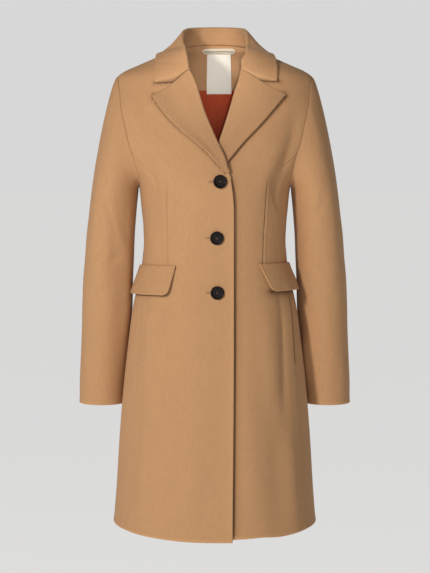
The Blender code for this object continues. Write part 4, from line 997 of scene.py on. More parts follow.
def front(side, materials):
    """One front: a patch between front edge, hem, side seam with armhole, and shoulder seam,
    laid on the body's surface with its folds and the dart."""
    rows = panel_rows(side, SIDE_FRONT_SEAM, ARMHOLE_FRONT_STEPS)
    inner = front_inner_plan(side, rows)
    outer = edge_plan(side, SIDE_FRONT_SEAM, ARMHOLE_FRONT_STEPS, rows)

    def shoulder(across):
        return np.stack(shoulder_line(side, across), axis=-1)

    def plan(across):
        return patch(straight(inner[0], outer[0]), shoulder, inner, outer, across,
                     height_share(outer[:, 1]))

    across = along_dart(side, plan, rows)
    x, height = np.moveaxis(plan(across), -1, 0)
    angle = angle_of(x, height)
    lift = overlap_lift(side, x, height) + body_relief(angle, height) - WOOL / 2
    if side == "right":
        from_edge = (visible_edge(side, height) - x) / EDGE_REACH
        below_break = 1 - fade(height, BREAK_LOW - BREAK_FADE, BREAK_LOW)
        lift = lift + EDGE_OFF * np.exp(-from_edge**2) * below_break
    else:
        low = 1 - fade(height, HEM_HEIGHT, HEM_HEIGHT + LEFT_HEM_FADE)
        height = height + LEFT_HEM_RISE * low * (1 - fade(x, *LEFT_HEM_SIDE))
    middle = seam_step(body_surface(angle, height, lift), "right", side, STEP_SHARE["front"])
    middle = pass_seams(middle, ("right", "high"))
    aside = dart_aside(side, x, height)
    # Painted shade: under covering edges, in the pocket's slit and along the dart.
    shade = np.maximum.reduce((
        cover_shade(side, angle, height),
        slit_shade(side, edge_distances(middle)["right"], height),
        DART_SHADE[side] * np.exp(-(aside / DART_WIDTH)**2) * dart_run(height)))
    faced = (across[:-1, :-1] < FACING_SHARE) | (rows[:-1, None] < HEM_FACING_ROWS)
    return cloth_piece(f"front_{side}_cloth", middle, PANEL_RIMS | {"left": FREE}, materials,
                       groove=dart_groove(aside, height), shade=shade,
                       inside=np.where(faced, WOOL_INSIDE, SATIN_INSIDE),
                       seam_shade=PANEL_SHADE[side])


def side_body(side, materials):
    """The side panel, between the side-front seam, the side-back seam and the underarm."""
    def side_line(row):
        heights = seam_height(row)
        return body_point(90.0 + 0 * heights, heights)

    rows = pattern_rows(side_line, LAST_SEAM_ROW)
    heights = seam_height(rows)
    first, second = (
        np.stack((SIDES[side] * read_table(seam, side, heights), heights), -1)
        for seam in (SIDE_FRONT_SEAM, SIDE_BACK_SEAM))
    across = for_each(rows, shares(SIDE_WIDTH, STEP))

    def underarm(share):
        steps = ARMHOLE_UNDER_STEPS
        turn = np.interp(share, np.linspace(0.0, 1.0, len(steps)), steps)
        return np.stack(armhole(side, turn), axis=-1)

    plan = patch(straight(first[0], second[0]), underarm, first, second, across,
                 height_share(heights))
    angle, height = np.moveaxis(plan, -1, 0)
    middle = seam_step(panel_middle(angle, height), "left", side, STEP_SHARE["side"])
    middle = pass_seams(middle, ("left", "right", "high"))
    # Painted shade under covering edges and in the pocket's slit.
    shade = np.maximum(cover_shade(side, angle, height),
                       slit_shade(side, edge_distances(middle)["left"], height))
    faced = rows[:-1, None] + 0 * across[:-1, :-1] < HEM_FACING_ROWS
    return cloth_piece(f"side_{side}_cloth", middle, PANEL_RIMS, materials, shade=shade,
                       inside=np.where(faced, WOOL_INSIDE, SATIN_INSIDE),
                       seam_shade=PANEL_SHADE[side])


def back_plan(side, rows, columns):
    """x and height of the back's points: a column is 0 at the centre back and 1 at the side.
    The hem and the top edge are worked out too, for the patch's corners, and left out."""
    rows = np.concatenate(([0.0], rows, [PANEL_ROWS]))
    across = for_each(rows, columns)
    level = SEAM_HEIGHTS[:ROWS_BELOW_CHEST]
    centre_heights = np.interp(
        rows, np.arange(PANEL_ROWS + 1), np.concatenate((level, BACK_CENTRE_HEIGHTS)))
    centre = np.stack((0 * centre_heights, centre_heights), axis=-1)
    outer = edge_plan(side, SIDE_BACK_SEAM, BACK_STEPS, rows)
    neck_x = [x for x, _ in BACK_NECK] + [NECK_POINT_X]
    neck_height = [height for _, height in BACK_NECK] + [NECK_POINT_HEIGHT]

    def top(share):
        column = share * BACK_TOP_COLUMNS
        index = np.arange(NECK_COLUMNS + 1)
        x = SIDES[side] * smooth_read(index, neck_x, column)
        height = smooth_read(index, neck_height, column)
        seam_x, seam_z = shoulder_line(
            side, np.clip((column - NECK_COLUMNS) / (BACK_TOP_COLUMNS - NECK_COLUMNS), 0, 1))
        on_neck = column <= NECK_COLUMNS
        return np.stack((np.where(on_neck, x, seam_x), np.where(on_neck, height, seam_z)), -1)

    corner = (edge_plan(side, SIDE_BACK_SEAM, BACK_STEPS, np.array([0.0]))[0, 0], HEM_HEIGHT)
    hem = straight(np.array((0.0, HEM_HEIGHT)), np.array(corner))
    return patch(hem, top, centre, outer, across, height_share(centre_heights))[1:-1]


def back(side, materials):
    """One back: a patch between the centre back seam, hem, side-back seam with armhole, and
    neckline with shoulder seam."""
    rows = panel_rows(side, SIDE_BACK_SEAM, BACK_STEPS)
    columns = shares(BACK_WIDTH, STEP)
    x, height = np.moveaxis(back_plan(side, rows, columns), -1, 0)
    middle = panel_middle(angle_of(x, height, back=True), height)
    middle = pass_seams(middle, ("left", "right", "high"))
    faced = (rows < HEM_FACING_ROWS) | (rows > PANEL_ROWS - NECK_FACING_ROWS)
    faced = faced[:-1, None] | (0 * columns[:-1] > 0)
    return cloth_piece(f"back_{side}_cloth", middle, PANEL_RIMS, materials,
                       inside=np.where(faced, WOOL_INSIDE, SATIN_INSIDE))


# ================================================================ sleeves
EVEN_TURNS = 1441        # places round the armhole where its length is measured
CAP_EVEN = 0.4           # share of the cap's outward strength that is the same all round
CAP_FALL = 0.25          # how much the cap's start leans down at the shoulder tip
CUFF_FACING = 0.038      # width of the turned-in cuff
SLEEVE_SEAMS = (152.0, 236.0)   # angles of the front and the hind seam
SLEEVE_SEAM_WIDTH = 0.0030
SLEEVE_SEAM_DEPTH = 0.0007
SLEEVE_FOLD_START = (0.004, 0.030)   # distances from the armhole where the folds begin


def sleeve_ring(side, heights, turn):
    """Level ellipses of the sleeve at these heights, with a point for each turn."""
    heights = np.asarray(heights)[:, None]
    x = (read_table(SLEEVE, "x", heights)
         + (read_table(SLEEVE, "half_width", heights) + WOOL / 2) * np.cos(turn))
    y = (read_table(SLEEVE, "y", heights)
         - (read_table(SLEEVE, "half_depth", heights) + WOOL / 2) * np.sin(turn))
    return np.stack((SIDES[side] * x, y, heights + 0 * x), axis=-1)


def sleeve_tube(side):
    """Middle surface of the sleeve and its angles round the sleeve: level ellipses below the
    arm, and above them cubic curves from the armhole."""
    dense = np.linspace(0.0, 360.0, EVEN_TURNS)
    around = run_length(body_point(*armhole(side, dense)))
    count = int(around[-1] / STEP)
    steps = np.interp(np.arange(count) * around[-1] / count, around, dense)
    start = body_surface(*armhole(side, steps), np.full(count, -WOOL / 2))
    turn = np.radians(steps)[None, :]
    top, cuff = SLEEVE[0].height, SLEEVE[-1].height
    spacing = (top - cuff) / (SLEEVE_RINGS - 1)
    first, second = sleeve_ring(side, [top, top - spacing], turn)
    reach = np.linalg.norm(first - start, axis=-1)[:, None]
    strength = CAP_OUTWARD * (CAP_EVEN + (1 - CAP_EVEN) * reach / reach.max())
    fall_away = -CAP_FALL * np.cos(np.radians(steps))
    outward = np.stack((SIDES[side] + 0 * fall_away, 0 * fall_away, fall_away), -1) * strength
    downward = unit(second - first) * CAP_DOWNWARD * reach
    t = shares(float(reach.max()), STEP)[:-len(END_TICKS)][:, None, None]
    cap = ((2 * t**3 - 3 * t**2 + 1) * start + (3 * t**2 - 2 * t**3) * first
           + (t**3 - 2 * t**2 + t) * outward + (t**3 - t**2) * downward)
    below = top - ticks(top - cuff, STEP)[len(END_TICKS) - 1:]
    below = np.concatenate(([top], below))
    return np.concatenate((cap, sleeve_ring(side, below, turn))), steps


def sleeve(side, materials):
    """The sleeve with its folds, and the grooves of its front and hind seams."""
    tube, steps = sleeve_tube(side)
    outward = tube - tube.mean(axis=1, keepdims=True)
    normals = grid_normals(tube, closed=True)
    normals = normals * np.sign(np.mean((normals * outward).sum(-1)))
    height = tube[..., 2]
    relief = fold_field(np.broadcast_to(steps, height.shape), height, SLEEVE_FOLDS[side],
                        SLEEVE_ARC)
    relief = relief * fade(run_length(tube, axis=0), *SLEEVE_FOLD_START)
    middle = tube + normals * relief[..., None]
    aside = half_turned(steps - np.array(SLEEVE_SEAMS)[:, None]) * SLEEVE_ARC
    groove = -SLEEVE_SEAM_DEPTH * np.exp(-(aside / SLEEVE_SEAM_WIDTH)**2).sum(axis=0)
    faced = edge_distances(middle, closed=True)["high"][:-1] < CUFF_FACING
    return cloth_piece(f"sleeve_{side}_cloth", middle, {"low": SEAM, "high": FREE}, materials,
                       groove=np.broadcast_to(groove, height.shape), closed=True,
                       inside=np.where(faced, WOOL_INSIDE, SATIN_INSIDE), outward=outward)


# ================================================================ collar and lapels
SEWN_GAP = 0.0002        # between the scene's collar and lapel at the gorge
ROLL_TURNS = 14          # steps round the half circle of a rolled edge
LAPEL_WIDTH = 0.085      # for the spacing of its columns
LAPEL_SPRING = 0.0012    # how far the lapel's middle springs off the front
LAPEL_SPRING_END = 0.8   # share of the width at which the spring ends
LAPEL_SETTLE = 0.45      # share of the width over which the roll comes down
LAPEL_END = 0.12         # share of the lapel in which its lower end thins out
LAPEL_END_SINK = 0.0016  # and sinks towards the front
LAPEL_END_THICKNESS = 0.45   # share of the thickness left at that end
LAPEL_EDGE_OFF = 0.0030  # how far its edge stands off
# Shares of the lapel's width, or of its height, over which each of these comes in.
EDGE_OFF_ACROSS, EDGE_OFF_UP = (0.5, 1.0), (0.0, 0.3)
SPRING_UP, MEET_UP = (0.05, 0.5), (0.7, 1.0)
NOTCH_MARGIN = 0.01      # the sewn edge ends this far before the notch, as a share
SEWN_ROUND = 0.0007      # rounding of two folded edges that are sewn together
AT_NOTCH = NOTCH_COLUMN / LAPEL_COLUMNS   # share of the lapel's width at the notch's vertex


def lapel_surface(side):
    """Middle surface of the lapel from the roll line to its edge, a row for each height:
    half circles round the roll, then the body's surface with the lapel's own lift, a soft
    bend and an edge that stands off.  Also how far across each column of the flat part is."""
    bottom, top = LAPEL_BREAK, GORGE_HEIGHT - SEWN_GAP
    roll_height = bottom + ticks(top - bottom, FINE)
    rows = (roll_height - bottom) / (top - bottom)
    roll = np.stack((cloth_edge(side, roll_height), roll_height), axis=-1)
    edge_heights = np.array([point.height for point in LAPEL_EDGE[side]])
    edge_height = edge_heights[-1] + (edge_heights[0] - edge_heights[-1]) * rows
    edge = np.stack((read_table(LAPEL_EDGE[side], "x", edge_height), edge_height), axis=-1)
    notch = NOTCHES[side]
    vertex = np.array([notch.vertex_x, notch.vertex_z - SEWN_GAP])

    def high(across):
        share = across[..., None]
        gorge = roll[-1] + (vertex - roll[-1]) * share / AT_NOTCH
        step = vertex + (edge[-1] - vertex) * (share - AT_NOTCH) / (1 - AT_NOTCH)
        return np.where(share < AT_NOTCH, gorge, step)

    columns = np.concatenate(([0.0], shares(LAPEL_WIDTH, FINE)[2:]))
    plan = patch(straight(roll[0], edge[0]), high, roll, edge, for_each(rows, columns), rows**2)
    x, height = np.moveaxis(plan, -1, 0)
    rest = overlap_lift(side, x, height) + LAPEL_SEAT + FOLDED / 2
    fall = body_surface(angle_of(x, height), height, rest)
    start = body_surface(angle_of(x[:, 0], height[:, 0]), height[:, 0],
                         rest[:, 0] - LAPEL_SEAT - FOLDED)
    outward = unit(fall[:, 0] - start)
    away = fall[:, 2] - fall[:, 0]
    away = unit(away - outward * (away * outward).sum(-1, keepdims=True))
    roll_points = rolled_edge(start - away * SEWN_GAP, away, outward, ROLL_RADIUS, ROLL_TURNS)
    rise = ROLL_RADIUS * 2 - LAPEL_SEAT - FOLDED
    spring = LAPEL_SPRING * np.sin(np.pi * np.clip(columns / LAPEL_SPRING_END, 0, 1))**2
    settle = (1 - fade(columns, 0.0, LAPEL_SETTLE)) * rise
    edge_off = (LAPEL_EDGE_OFF * fade(columns, *EDGE_OFF_ACROSS)
                * fade(rows, *EDGE_OFF_UP)[:, None])
    sink = LAPEL_END_SINK * (1 - fade(rows, 0.0, LAPEL_END))[:, None]
    lift = settle + spring * fade(rows, *SPRING_UP)[:, None] + edge_off - sink
    normals = unit(body_distance(fall)[1])
    roll_points = roll_points - outward[:, None] * sink[:, None]
    middle = np.concatenate((roll_points, (fall + normals * lift[..., None])[:, 1:]), axis=1)
    middle += meet_collar(side, middle[-1], columns) * fade(rows, *MEET_UP)[:, None, None]
    return middle, columns


def lapel(side, materials):
    """The lapel: two layers of wool that thin out at the lower end."""
    middle, columns = lapel_surface(side)
    rows = run_length(middle)[:, -1:]
    thinned = fade(rows / rows[-1], 0.0, LAPEL_END)
    half = FOLDED / 2 * (LAPEL_END_THICKNESS + (1 - LAPEL_END_THICKNESS) * thinned)
    sewn = np.concatenate((np.zeros(ROLL_TURNS), columns)) < AT_NOTCH - NOTCH_MARGIN
    top = Rim(np.where(sewn, SEWN_ROUND, FOLDED_RIM.round), 0.0)
    rims = {"left": HIDDEN_RIM, "right": FOLDED_RIM, "low": FOLDED_RIM, "high": top}
    return cloth_piece(f"lapel_{side}_cloth", middle, rims, materials, half=half)


def neckline_curve(side, count):
    """Angle and height of the neckline at so many places, from the centre back to the gorge."""
    angle, height = neckline(side)
    index = np.arange(len(angle))
    at = np.linspace(0, len(angle) - 1, count)
    return SIDES[side] * smooth_read(index, SIDES[side] * angle, at), smooth_read(index, height, at)


HALF_COLLAR_ROWS = 105   # from the centre back to the front end
STAND_STEPS = 9          # columns up the stand
FALL_STEPS = 26          # and down the fall
FALL_WIDTH = 0.06        # of the collar's fall, for the spacing of its columns
NOTCH_SHARE = 1 / 3      # of the collar's end that lies along the gorge
COLLAR_SHARES = np.concatenate(
    ([0.0], shares(FALL_WIDTH, FALL_WIDTH / FALL_STEPS)[len(END_TICKS) - 1:]))
ROLL_NARROWS = 0.55      # share of the half collar at which its roll begins to tighten
SETTLE_BY, SETTLE_BY_END = 0.6, 0.3   # share of the fall by which the roll has come down
SETTLE_CHANGE = 0.8      # share of the half collar at which the one turns into the other
STAND_SEWN = 0.0024      # how far the scene's stand reaches down to its seam
STAND_LINES = (4.2, 7.4) # columns of the stand where its inner seams show
STAND_LINE_DEPTH = 0.0006
STAND_LINE_WIDTH = 0.5   # in columns


def half_collar(side):
    """Middle surface of one half of the collar: up the stand, over the fold as half a
    circle, and down the fall."""
    count = HALF_COLLAR_ROWS
    along = np.linspace(0.0, 1.0, count)
    angle, height = neckline_curve(side, count)
    sign = SIDES[side]
    shift = read_table(COLLAR, "shift", along)

    def curve(name):
        x = sign * read_table(COLLAR, name + "_x", along) + shift
        return np.stack((x, read_table(COLLAR, name + "_y", along),
                         read_table(COLLAR, name + "_z", along)), -1)

    fold, edge = curve("fold"), curve("edge")
    notch = NOTCHES[side]
    corner = np.array([[notch.vertex_x, fold[-1, 1], notch.vertex_z],
                       [notch.collar_x, edge[-1, 1], notch.collar_z]])
    corner = lay(corner, LAID_GAP + FOLDED / 2 + overlap_lift(side, corner[:, 0], corner[:, 2]))
    edge[-1] = corner[1]
    neck_x = body_point(angle, height)[:, 0]
    sunk = np.where(np.abs(angle) < 90, overlap_lift(side, neck_x, height), 0.0)
    seam = body_surface(angle, height, sunk - WOOL / 2)
    outward_body = unit(body_surface(angle, height, np.full(count, 0.001)) - seam)

    share = COLLAR_SHARES
    fall = fold[:, None] + (edge - fold)[:, None] * share[None, :, None]
    at = share[:, None]
    ends = fold[-1] + (corner[0] - fold[-1]) * at / NOTCH_SHARE
    tips = corner[0] + (corner[1] - corner[0]) * (at - NOTCH_SHARE) / (1 - NOTCH_SHARE)
    fall[-1] = np.where(at < NOTCH_SHARE, ends, tips)

    third = fold + (edge - fold) / 3
    third[-1] = corner[0]
    upward = unit(fold - third)
    tangent = unit(np.gradient(fold, axis=0)) * sign
    outward = unit(np.cross(upward, tangent))
    outward *= np.sign((outward * outward_body).sum(-1, keepdims=True))
    radius = COLLAR_ROLL + (ROLL_RADIUS - COLLAR_ROLL) * fade(along, ROLL_NARROWS, 1.0)
    inside = fold - (upward + outward) * radius[:, None]

    into_neck = unit(np.cross(np.gradient(seam, axis=0), outward_body)) * sign
    lean = (unit(inside - seam) * into_neck).sum(-1, keepdims=True)
    base = STAND_GAP + FOLDED / 2 * np.sqrt(1 - lean**2)
    stand_start = seam + into_neck * (base - STAND_SEWN)
    height_left = ((inside - stand_start) * into_neck).sum(-1, keepdims=True)
    inside = inside + into_neck * np.maximum(SHORTEST_STAND - height_left, 0.0)
    roll = rolled_edge(inside, -upward, outward, radius, ROLL_TURNS)
    steps = np.linspace(0.0, 1.0, STAND_STEPS + 1)[None, :-1, None]
    stand = stand_start[:, None] + (inside - stand_start)[:, None] * steps

    start = roll[:, -1:]
    ending = fade(along, SETTLE_CHANGE, 1.0)[:, None, None]
    settle_by = SETTLE_BY + (SETTLE_BY_END - SETTLE_BY) * ending
    blend = 1 - fade(share[None, 1:, None], 0.0, settle_by)
    lower = fall[:, 1:] + (start - fold[:, None]) * blend
    lower = np.concatenate((start, lower), axis=1)
    over = overlap_lift(side, lower[..., 0], lower[..., 2]) if side == "right" else 0.0
    laid = lay(lower, COLLAR_SEAT + FOLDED / 2 + over, only_out=True)
    out = laid[:, :1] - start
    return np.concatenate((stand + out * steps, roll + out, laid[:, 1:]), axis=1)


MEET_FADE = 0.3          # share of the lapel's width past the notch where the move dies away


def meet_collar(side, top, columns):
    """How far each point of the lapel's upper edge has to move to lie just under the
    collar's end, as far as the notch, fading out beyond it."""
    end = half_collar(side)[-1, STAND_STEPS:]
    at = np.minimum(columns / AT_NOTCH, 1.0) * NOTCH_SHARE
    flat = read_points(at, COLLAR_SHARES, end[ROLL_TURNS:])
    target = np.concatenate((end[:ROLL_TURNS], flat)) - (0.0, 0.0, SEWN_GAP)
    reached = np.concatenate((np.zeros(ROLL_TURNS), columns))
    last = ROLL_TURNS + int(np.sum(columns <= AT_NOTCH)) - 1
    move = np.where((reached > AT_NOTCH)[:, None], (target - top)[last], target - top)
    return move * (1 - fade(reached, AT_NOTCH, AT_NOTCH + MEET_FADE))[:, None]


def collar(materials):
    """The collar, seated at least a little above the coat everywhere, with the two seams of
    its stand."""
    middle = np.concatenate((half_collar("right")[::-1], half_collar("left")[1:]))
    column = np.arange(middle.shape[1])[None, :]
    groove = np.zeros(middle.shape[:2])
    for line in STAND_LINES:
        groove = groove - STAND_LINE_DEPTH * np.exp(-((column - line) / STAND_LINE_WIDTH)**2)
    sewn = column < STAND_STEPS + ROLL_TURNS + FALL_STEPS * NOTCH_SHARE
    end = Rim(np.where(sewn, SEWN_ROUND, FOLDED_RIM.round), 0.0)
    rims = {"left": HIDDEN_RIM, "right": FOLDED_RIM, "low": end, "high": end}
    return cloth_piece("collar_cloth", middle, rims, materials, half=FOLDED / 2, groove=groove,
                       outward=middle * (1, 1, 0) + (0.0, 0.0, 1.0))


# ================================================================ pocket flaps
FLAP_TUCK = 0.0011       # how much lower the flap's sewn upper edge lies
FLAP_TUCK_REACH = 0.006  # distance below it over which that dies away
FLAP_LIFT = {"right": 0.0018, "left": 0.0038}   # how much more the lower edge flares here
FLAP_LINES = (0.0016, 0.0075)   # distances of the two rows of stitches from the edge
STITCH_GROOVE = 0.0006   # depth of the groove along the inner one
STITCH_GROOVE_WIDTH = 0.0016
FRONT_END_STRAIGHT = 0.7   # share of the flap's front end that is straight
CORNER_TURN = 0.15       # share of its lower edge that is in the rounded corner
STITCH_SINK = 0.0006     # how far the stitches are pulled into the cloth


def flap_plan(side, across, down):
    """Flat cut of a flap, in metres across from its front end and down from its top edge."""
    place = FLAPS[side]
    drop = place.height - FLAP_CORNER
    half_turn = np.radians(45.0)

    def corner(turn, down, run):
        return np.stack((FLAP_CORNER * (1 - np.cos(turn)) + run,
                         down + FLAP_CORNER * np.sin(turn)), -1)

    def front_end(share):
        past = np.clip((share - FRONT_END_STRAIGHT) / (1 - FRONT_END_STRAIGHT), 0.0, 1.0)
        return corner(past * half_turn, np.minimum(share / FRONT_END_STRAIGHT, 1.0) * drop, 0.0)

    def lower_edge(share):
        turn = half_turn + np.clip(share / CORNER_TURN, 0.0, 1.0) * half_turn
        run = np.clip((share - CORNER_TURN) / (1 - CORNER_TURN), 0.0, 1.0)
        return corner(turn, drop, run * (FLAP_WIDTH - FLAP_CORNER))

    ends = np.stack((FLAP_WIDTH + 0 * down, place.height * down), axis=-1)
    top = straight(np.zeros(2), np.array((FLAP_WIDTH, 0.0)))
    return patch(top, lower_edge, front_end(down), ends, for_each(down, across), down)


def flap_place(side, across, down):
    """Angle and height on the body of a place on the flap's flat cut."""
    place = FLAPS[side]
    across = across + place.slant * (down / place.height) * (1 - across / FLAP_WIDTH)
    angle = SIDES[side] * (place.first_angle + np.degrees(across / HIP_RADIUS))
    top_height = place.top_front + (place.top_side - place.top_front) * across / FLAP_WIDTH
    return angle, top_height - down


def flap_surface(side, across, down, lift):
    """Points at lift over the flap's inner side, which is tucked in at the top and flared at
    the bottom."""
    angle, height = flap_place(side, across, down)
    flare = (FLAP_FLARE + FLAP_LIFT[side]) * fade(down, 0.0, FLAPS[side].height)
    inner = FLAP_SEAT + flare - FLAP_TUCK * (1 - fade(down, 0.0, FLAP_TUCK_REACH))
    return body_surface(angle, height, inner + lift + body_relief(angle, height))


def flap(side, materials):
    """The flap with a groove along its inner row of topstitching, beside the front end, the
    lower edge and the side end."""
    columns, rows = shares(FLAP_WIDTH, FINE), shares(FLAPS[side].height, FINE)
    across, down = np.moveaxis(flap_plan(side, columns, rows), -1, 0)
    middle = flap_surface(side, across, down, FOLDED / 2)
    distances = edge_distances(middle)
    edge = np.minimum.reduce([distances[end] for end in ("left", "right", "high")])
    groove = -STITCH_GROOVE * np.exp(-((edge - FLAP_LINES[1]) / STITCH_GROOVE_WIDTH)**2)
    rims = dict.fromkeys(("left", "right", "high"), FOLDED_RIM) | {"low": HIDDEN_RIM}
    return cloth_piece(f"flap_{side}_cloth", middle, rims, materials, half=FOLDED / 2,
                       groove=groove)


# ================================================================ inside the neck
LINING_SIZE = (0.28, 0.20)
LAYER_STEPS = (0.004, 0.0035)   # up and across


def inner_layer(name, first_row, last_row, reach, size, thickness, materials, rim, relief):
    """Layer of cloth inside both backs: the back's own places, moved in.  relief is how far
    a place at x, height and row lies out of that."""
    up, across = (shares(length, step) for length, step in zip(size, LAYER_STEPS))
    rows, columns = first_row + (last_row - first_row) * up, reach * across
    right, left = (back_plan(side, rows, columns) for side in SIDES)
    x, height = np.moveaxis(np.concatenate((left[:, ::-1], right[:, 1:]), axis=1), -1, 0)
    lift = -WOOL - LAID_GAP - thickness / 2 + relief(x, height, rows[:, None])
    middle = back_surface(x, height, lift + 0 * x)
    return cloth_piece(name, middle, all_round(rim), materials, half=thickness / 2,
                       outward=-middle * (1, 1, 0))


FACING_FIRST_ROW = 17.135   # of the back's pattern
FACING_ACROSS = 7 / 13   # how far across the back the facing reaches
FACING_SIZE = (0.17, 0.11)   # height and width, for the spacing of its points
LINING_ROWS = (8.0, 17.12)   # the lining's first and last row
LINING_ROUND = 0.0006    # how far from its edge the lining is rounded off
LINING_ACROSS = 12 / 13


def neck_facing(materials):
    """The back neck's facing."""
    def turned_out(x, height, row):
        """The upper edge turns out to the neckline, where it is sewn to the stand."""
        return ((WOOL / 2 + LAID_GAP + FACING / 2)
                * fade(row + 0 * x, PANEL_ROWS - NECK_FACING_ROWS, PANEL_ROWS))

    return inner_layer("neck_facing_cloth", FACING_FIRST_ROW, PANEL_ROWS, FACING_ACROSS,
                       FACING_SIZE, FACING, materials, 0.0010, turned_out)


# Upright waves of the lining: depth, width over a turn of 1, sway and shift.
LINING_WAVES = ((0.0010, 0.0085, 2.2, 0), (0.0006, 0.0043, 0.0, 1))
SWAY_HEIGHT = 0.05       # height over which the waves sway by a turn of 1
WAVES_FROM, PLEAT_FROM = (0.06, 0.14), (0.05, 0.09)   # depths below the neck where they begin
LINING_SLACK = 0.0012    # how far it hangs off the back
LINING_PLEAT = (0.0009, 0.002, 0.0055)   # depth, place and width of the pleat


def lining_relief(x, height, row):
    """Soft upright folds of the loose lining, and the pleat at its centre back."""
    waves = sum(depth * np.sin(x / width + sway * np.sin(height / SWAY_HEIGHT) + shift)
                for depth, width, sway, shift in LINING_WAVES)
    depth, place, width = LINING_PLEAT
    pleat = depth * np.exp(-((x - place) / width)**2)
    return (-LINING_SLACK + fade(-height, *WAVES_FROM) * waves
            - pleat * fade(-height, *PLEAT_FROM) + 0 * row)


def lining(materials):
    """The back's lining, as far down as the waist."""
    return inner_layer("lining_cloth", *LINING_ROWS, LINING_ACROSS, LINING_SIZE, SATIN,
                       materials, LINING_ROUND, lining_relief)


ON_FACING = -WOOL - FACING - LAID_GAP - LABEL_LIFT   # lift of what is sewn on the facing
LABEL_STEP = 0.0016
LABEL_CUSHION, LABEL_EDGE = 0.0007, (0.001, 0.012)   # its height, and where it rises
LOOP_COLUMNS, LOOP_ROWS = 81, 13
LOOP_POINT, LOOP_POINT_REACH = 0.25, 0.16   # width left at the loop's ends, and their length
LOOP_SHADE = 0.9         # depth of the painted shade between the loop's two folded edges
LOOP_LINE = (-0.12, 0.13)   # that line's place and width, as shares of the loop's width
LOOP_LINE_ENDS = (0.05, 0.20)   # how slack the loop is where the line begins and is full


def neck_label(materials):
    """Bare woven label, a little cushioned between its stitched edges."""
    x = NECK_SHIFT + ticks(2 * LABEL_HALF_WIDTH, LABEL_STEP)[None, :] - LABEL_HALF_WIDTH
    height = LABEL_BOTTOM + ticks(LABEL_TOP - LABEL_BOTTOM, LABEL_STEP)[:, None]
    x, height = np.broadcast_arrays(x, height)
    edge = np.minimum(LABEL_HALF_WIDTH - np.abs(x - NECK_SHIFT),
                      np.minimum(height - LABEL_BOTTOM, LABEL_TOP - height))
    middle = back_surface(x, height,
                          ON_FACING - LABEL / 2 - LABEL_CUSHION * fade(edge, *LABEL_EDGE))
    return cloth_piece("neck_label_cloth", middle, all_round(0.0009), materials,
                       half=LABEL / 2, outward=-middle * (1, 1, 0))


def hanger_loop(materials):
    """Folded tape, sewn down at its pointed ends and slack between them, with a line of painted
    shade between its folded edges.
    """
    share = np.linspace(-1.0, 1.0, LOOP_COLUMNS)[None, :]
    across = np.sin(np.linspace(-np.pi / 2, np.pi / 2, LOOP_ROWS))[:, None] / 2
    slack = 1 - share**2
    x = NECK_SHIFT + LOOP_HALF_LENGTH * share + 0 * across
    full = fade(1 - np.abs(share), 0.0, LOOP_POINT_REACH)
    width = LOOP_WIDTH * (LOOP_POINT + (1 - LOOP_POINT) * full)
    height = LOOP_HEIGHT + LOOP_ARC * slack + width * across
    middle = back_surface(x, height, ON_FACING - LOOP_SLACK * slack - TAPE / 2 + 0 * across)
    place, reach = LOOP_LINE
    shade = LOOP_SHADE * fade(slack, *LOOP_LINE_ENDS) * np.exp(-((across - place) / reach)**2)
    return cloth_piece("hanger_loop_cloth", middle, all_round(0.0008), materials,
                       half=TAPE / 2, outward=-middle * (1, 1, 0), shade=shade)


# ================================================================ buttons
BUTTON_SHANK = 0.0006    # how far the thread lets the button stand off the cloth
BUTTON_GRID = 72         # points along and across
STEP_OUT = 0.01          # a step off the cloth that tells which way is out
BUTTON_ROUND = (0.0011, 0.0012)   # where the outer rounding begins, and its radius
BUTTON_CROWN = 0.0002    # how much higher than half its thickness the rim stands
BUTTON_FLOOR = 0.9       # share of half its thickness that the underside has
DISH_EDGE = (-0.0016, 0.0004)   # the dish's slope, on either side of the rim's inner edge
HOLE_DEPTH, HOLE_EDGE = 0.0017, (0.0007, 0.0013)   # depth, and radii of its sloping wall


def disc_grid(count):
    """Places on a unit disc for the places of a square grid, so that no point is a pole."""
    even = np.sin(np.linspace(-np.pi / 2, np.pi / 2, count))
    a, b = np.meshgrid(even, even)
    return a * np.sqrt(1 - b**2 / 2), b * np.sqrt(1 - a**2 / 2)


def button_frame(place):
    """Centre of a button and its directions: aside, up and out of the coat."""
    x, height = np.array(place.x), np.array(place.height)
    lift = overlap_lift("right", x, height)
    seat = body_surface(angle_of(x, height), height, lift)
    outward = unit(body_surface(angle_of(x, height), height, lift + STEP_OUT) - seat)
    up = np.array([0.0, 0.0, 1.0])
    rise = unit(up - outward * (up @ outward))
    centre = seat + outward * (BUTTON_THICKNESS / 2 + LAID_GAP + BUTTON_SHANK)
    return centre, np.cross(rise, outward), rise, outward


def button(place, materials):
    """Turned button: a raised rounded rim, a dished centre, and four holes."""
    x, y = disc_grid(BUTTON_GRID)
    radius = np.hypot(x, y) * BUTTON_RADIUS
    half = BUTTON_THICKNESS / 2
    inner = BUTTON_RADIUS - BUTTON_RIM
    inset, bend = BUTTON_ROUND
    rim = np.sqrt(np.clip(1 - ((radius - BUTTON_RADIUS + inset) / bend)**2, 0, 1))
    rim = np.where(radius < BUTTON_RADIUS - inset, 1.0, rim)
    low, high = DISH_EDGE
    top = (half + BUTTON_CROWN) * rim - BUTTON_DISH * (1 - fade(radius, inner + low, inner + high))
    for column in (-1, 1):
        for row in (-1, 1):
            away = np.hypot(x * BUTTON_RADIUS - column * BUTTON_HOLE_SPACING,
                            y * BUTTON_RADIUS - row * BUTTON_HOLE_SPACING)
            top = top - HOLE_DEPTH * (1 - fade(away, *HOLE_EDGE))
    bottom = -half * rim * BUTTON_FLOOR
    centre, aside, rise, outward = button_frame(place)
    flat = centre + BUTTON_RADIUS * (x[..., None] * aside + y[..., None] * rise)
    return two_sided(f"{place.name}_horn", flat + outward * top[..., None],
                     flat + outward * bottom[..., None], materials)


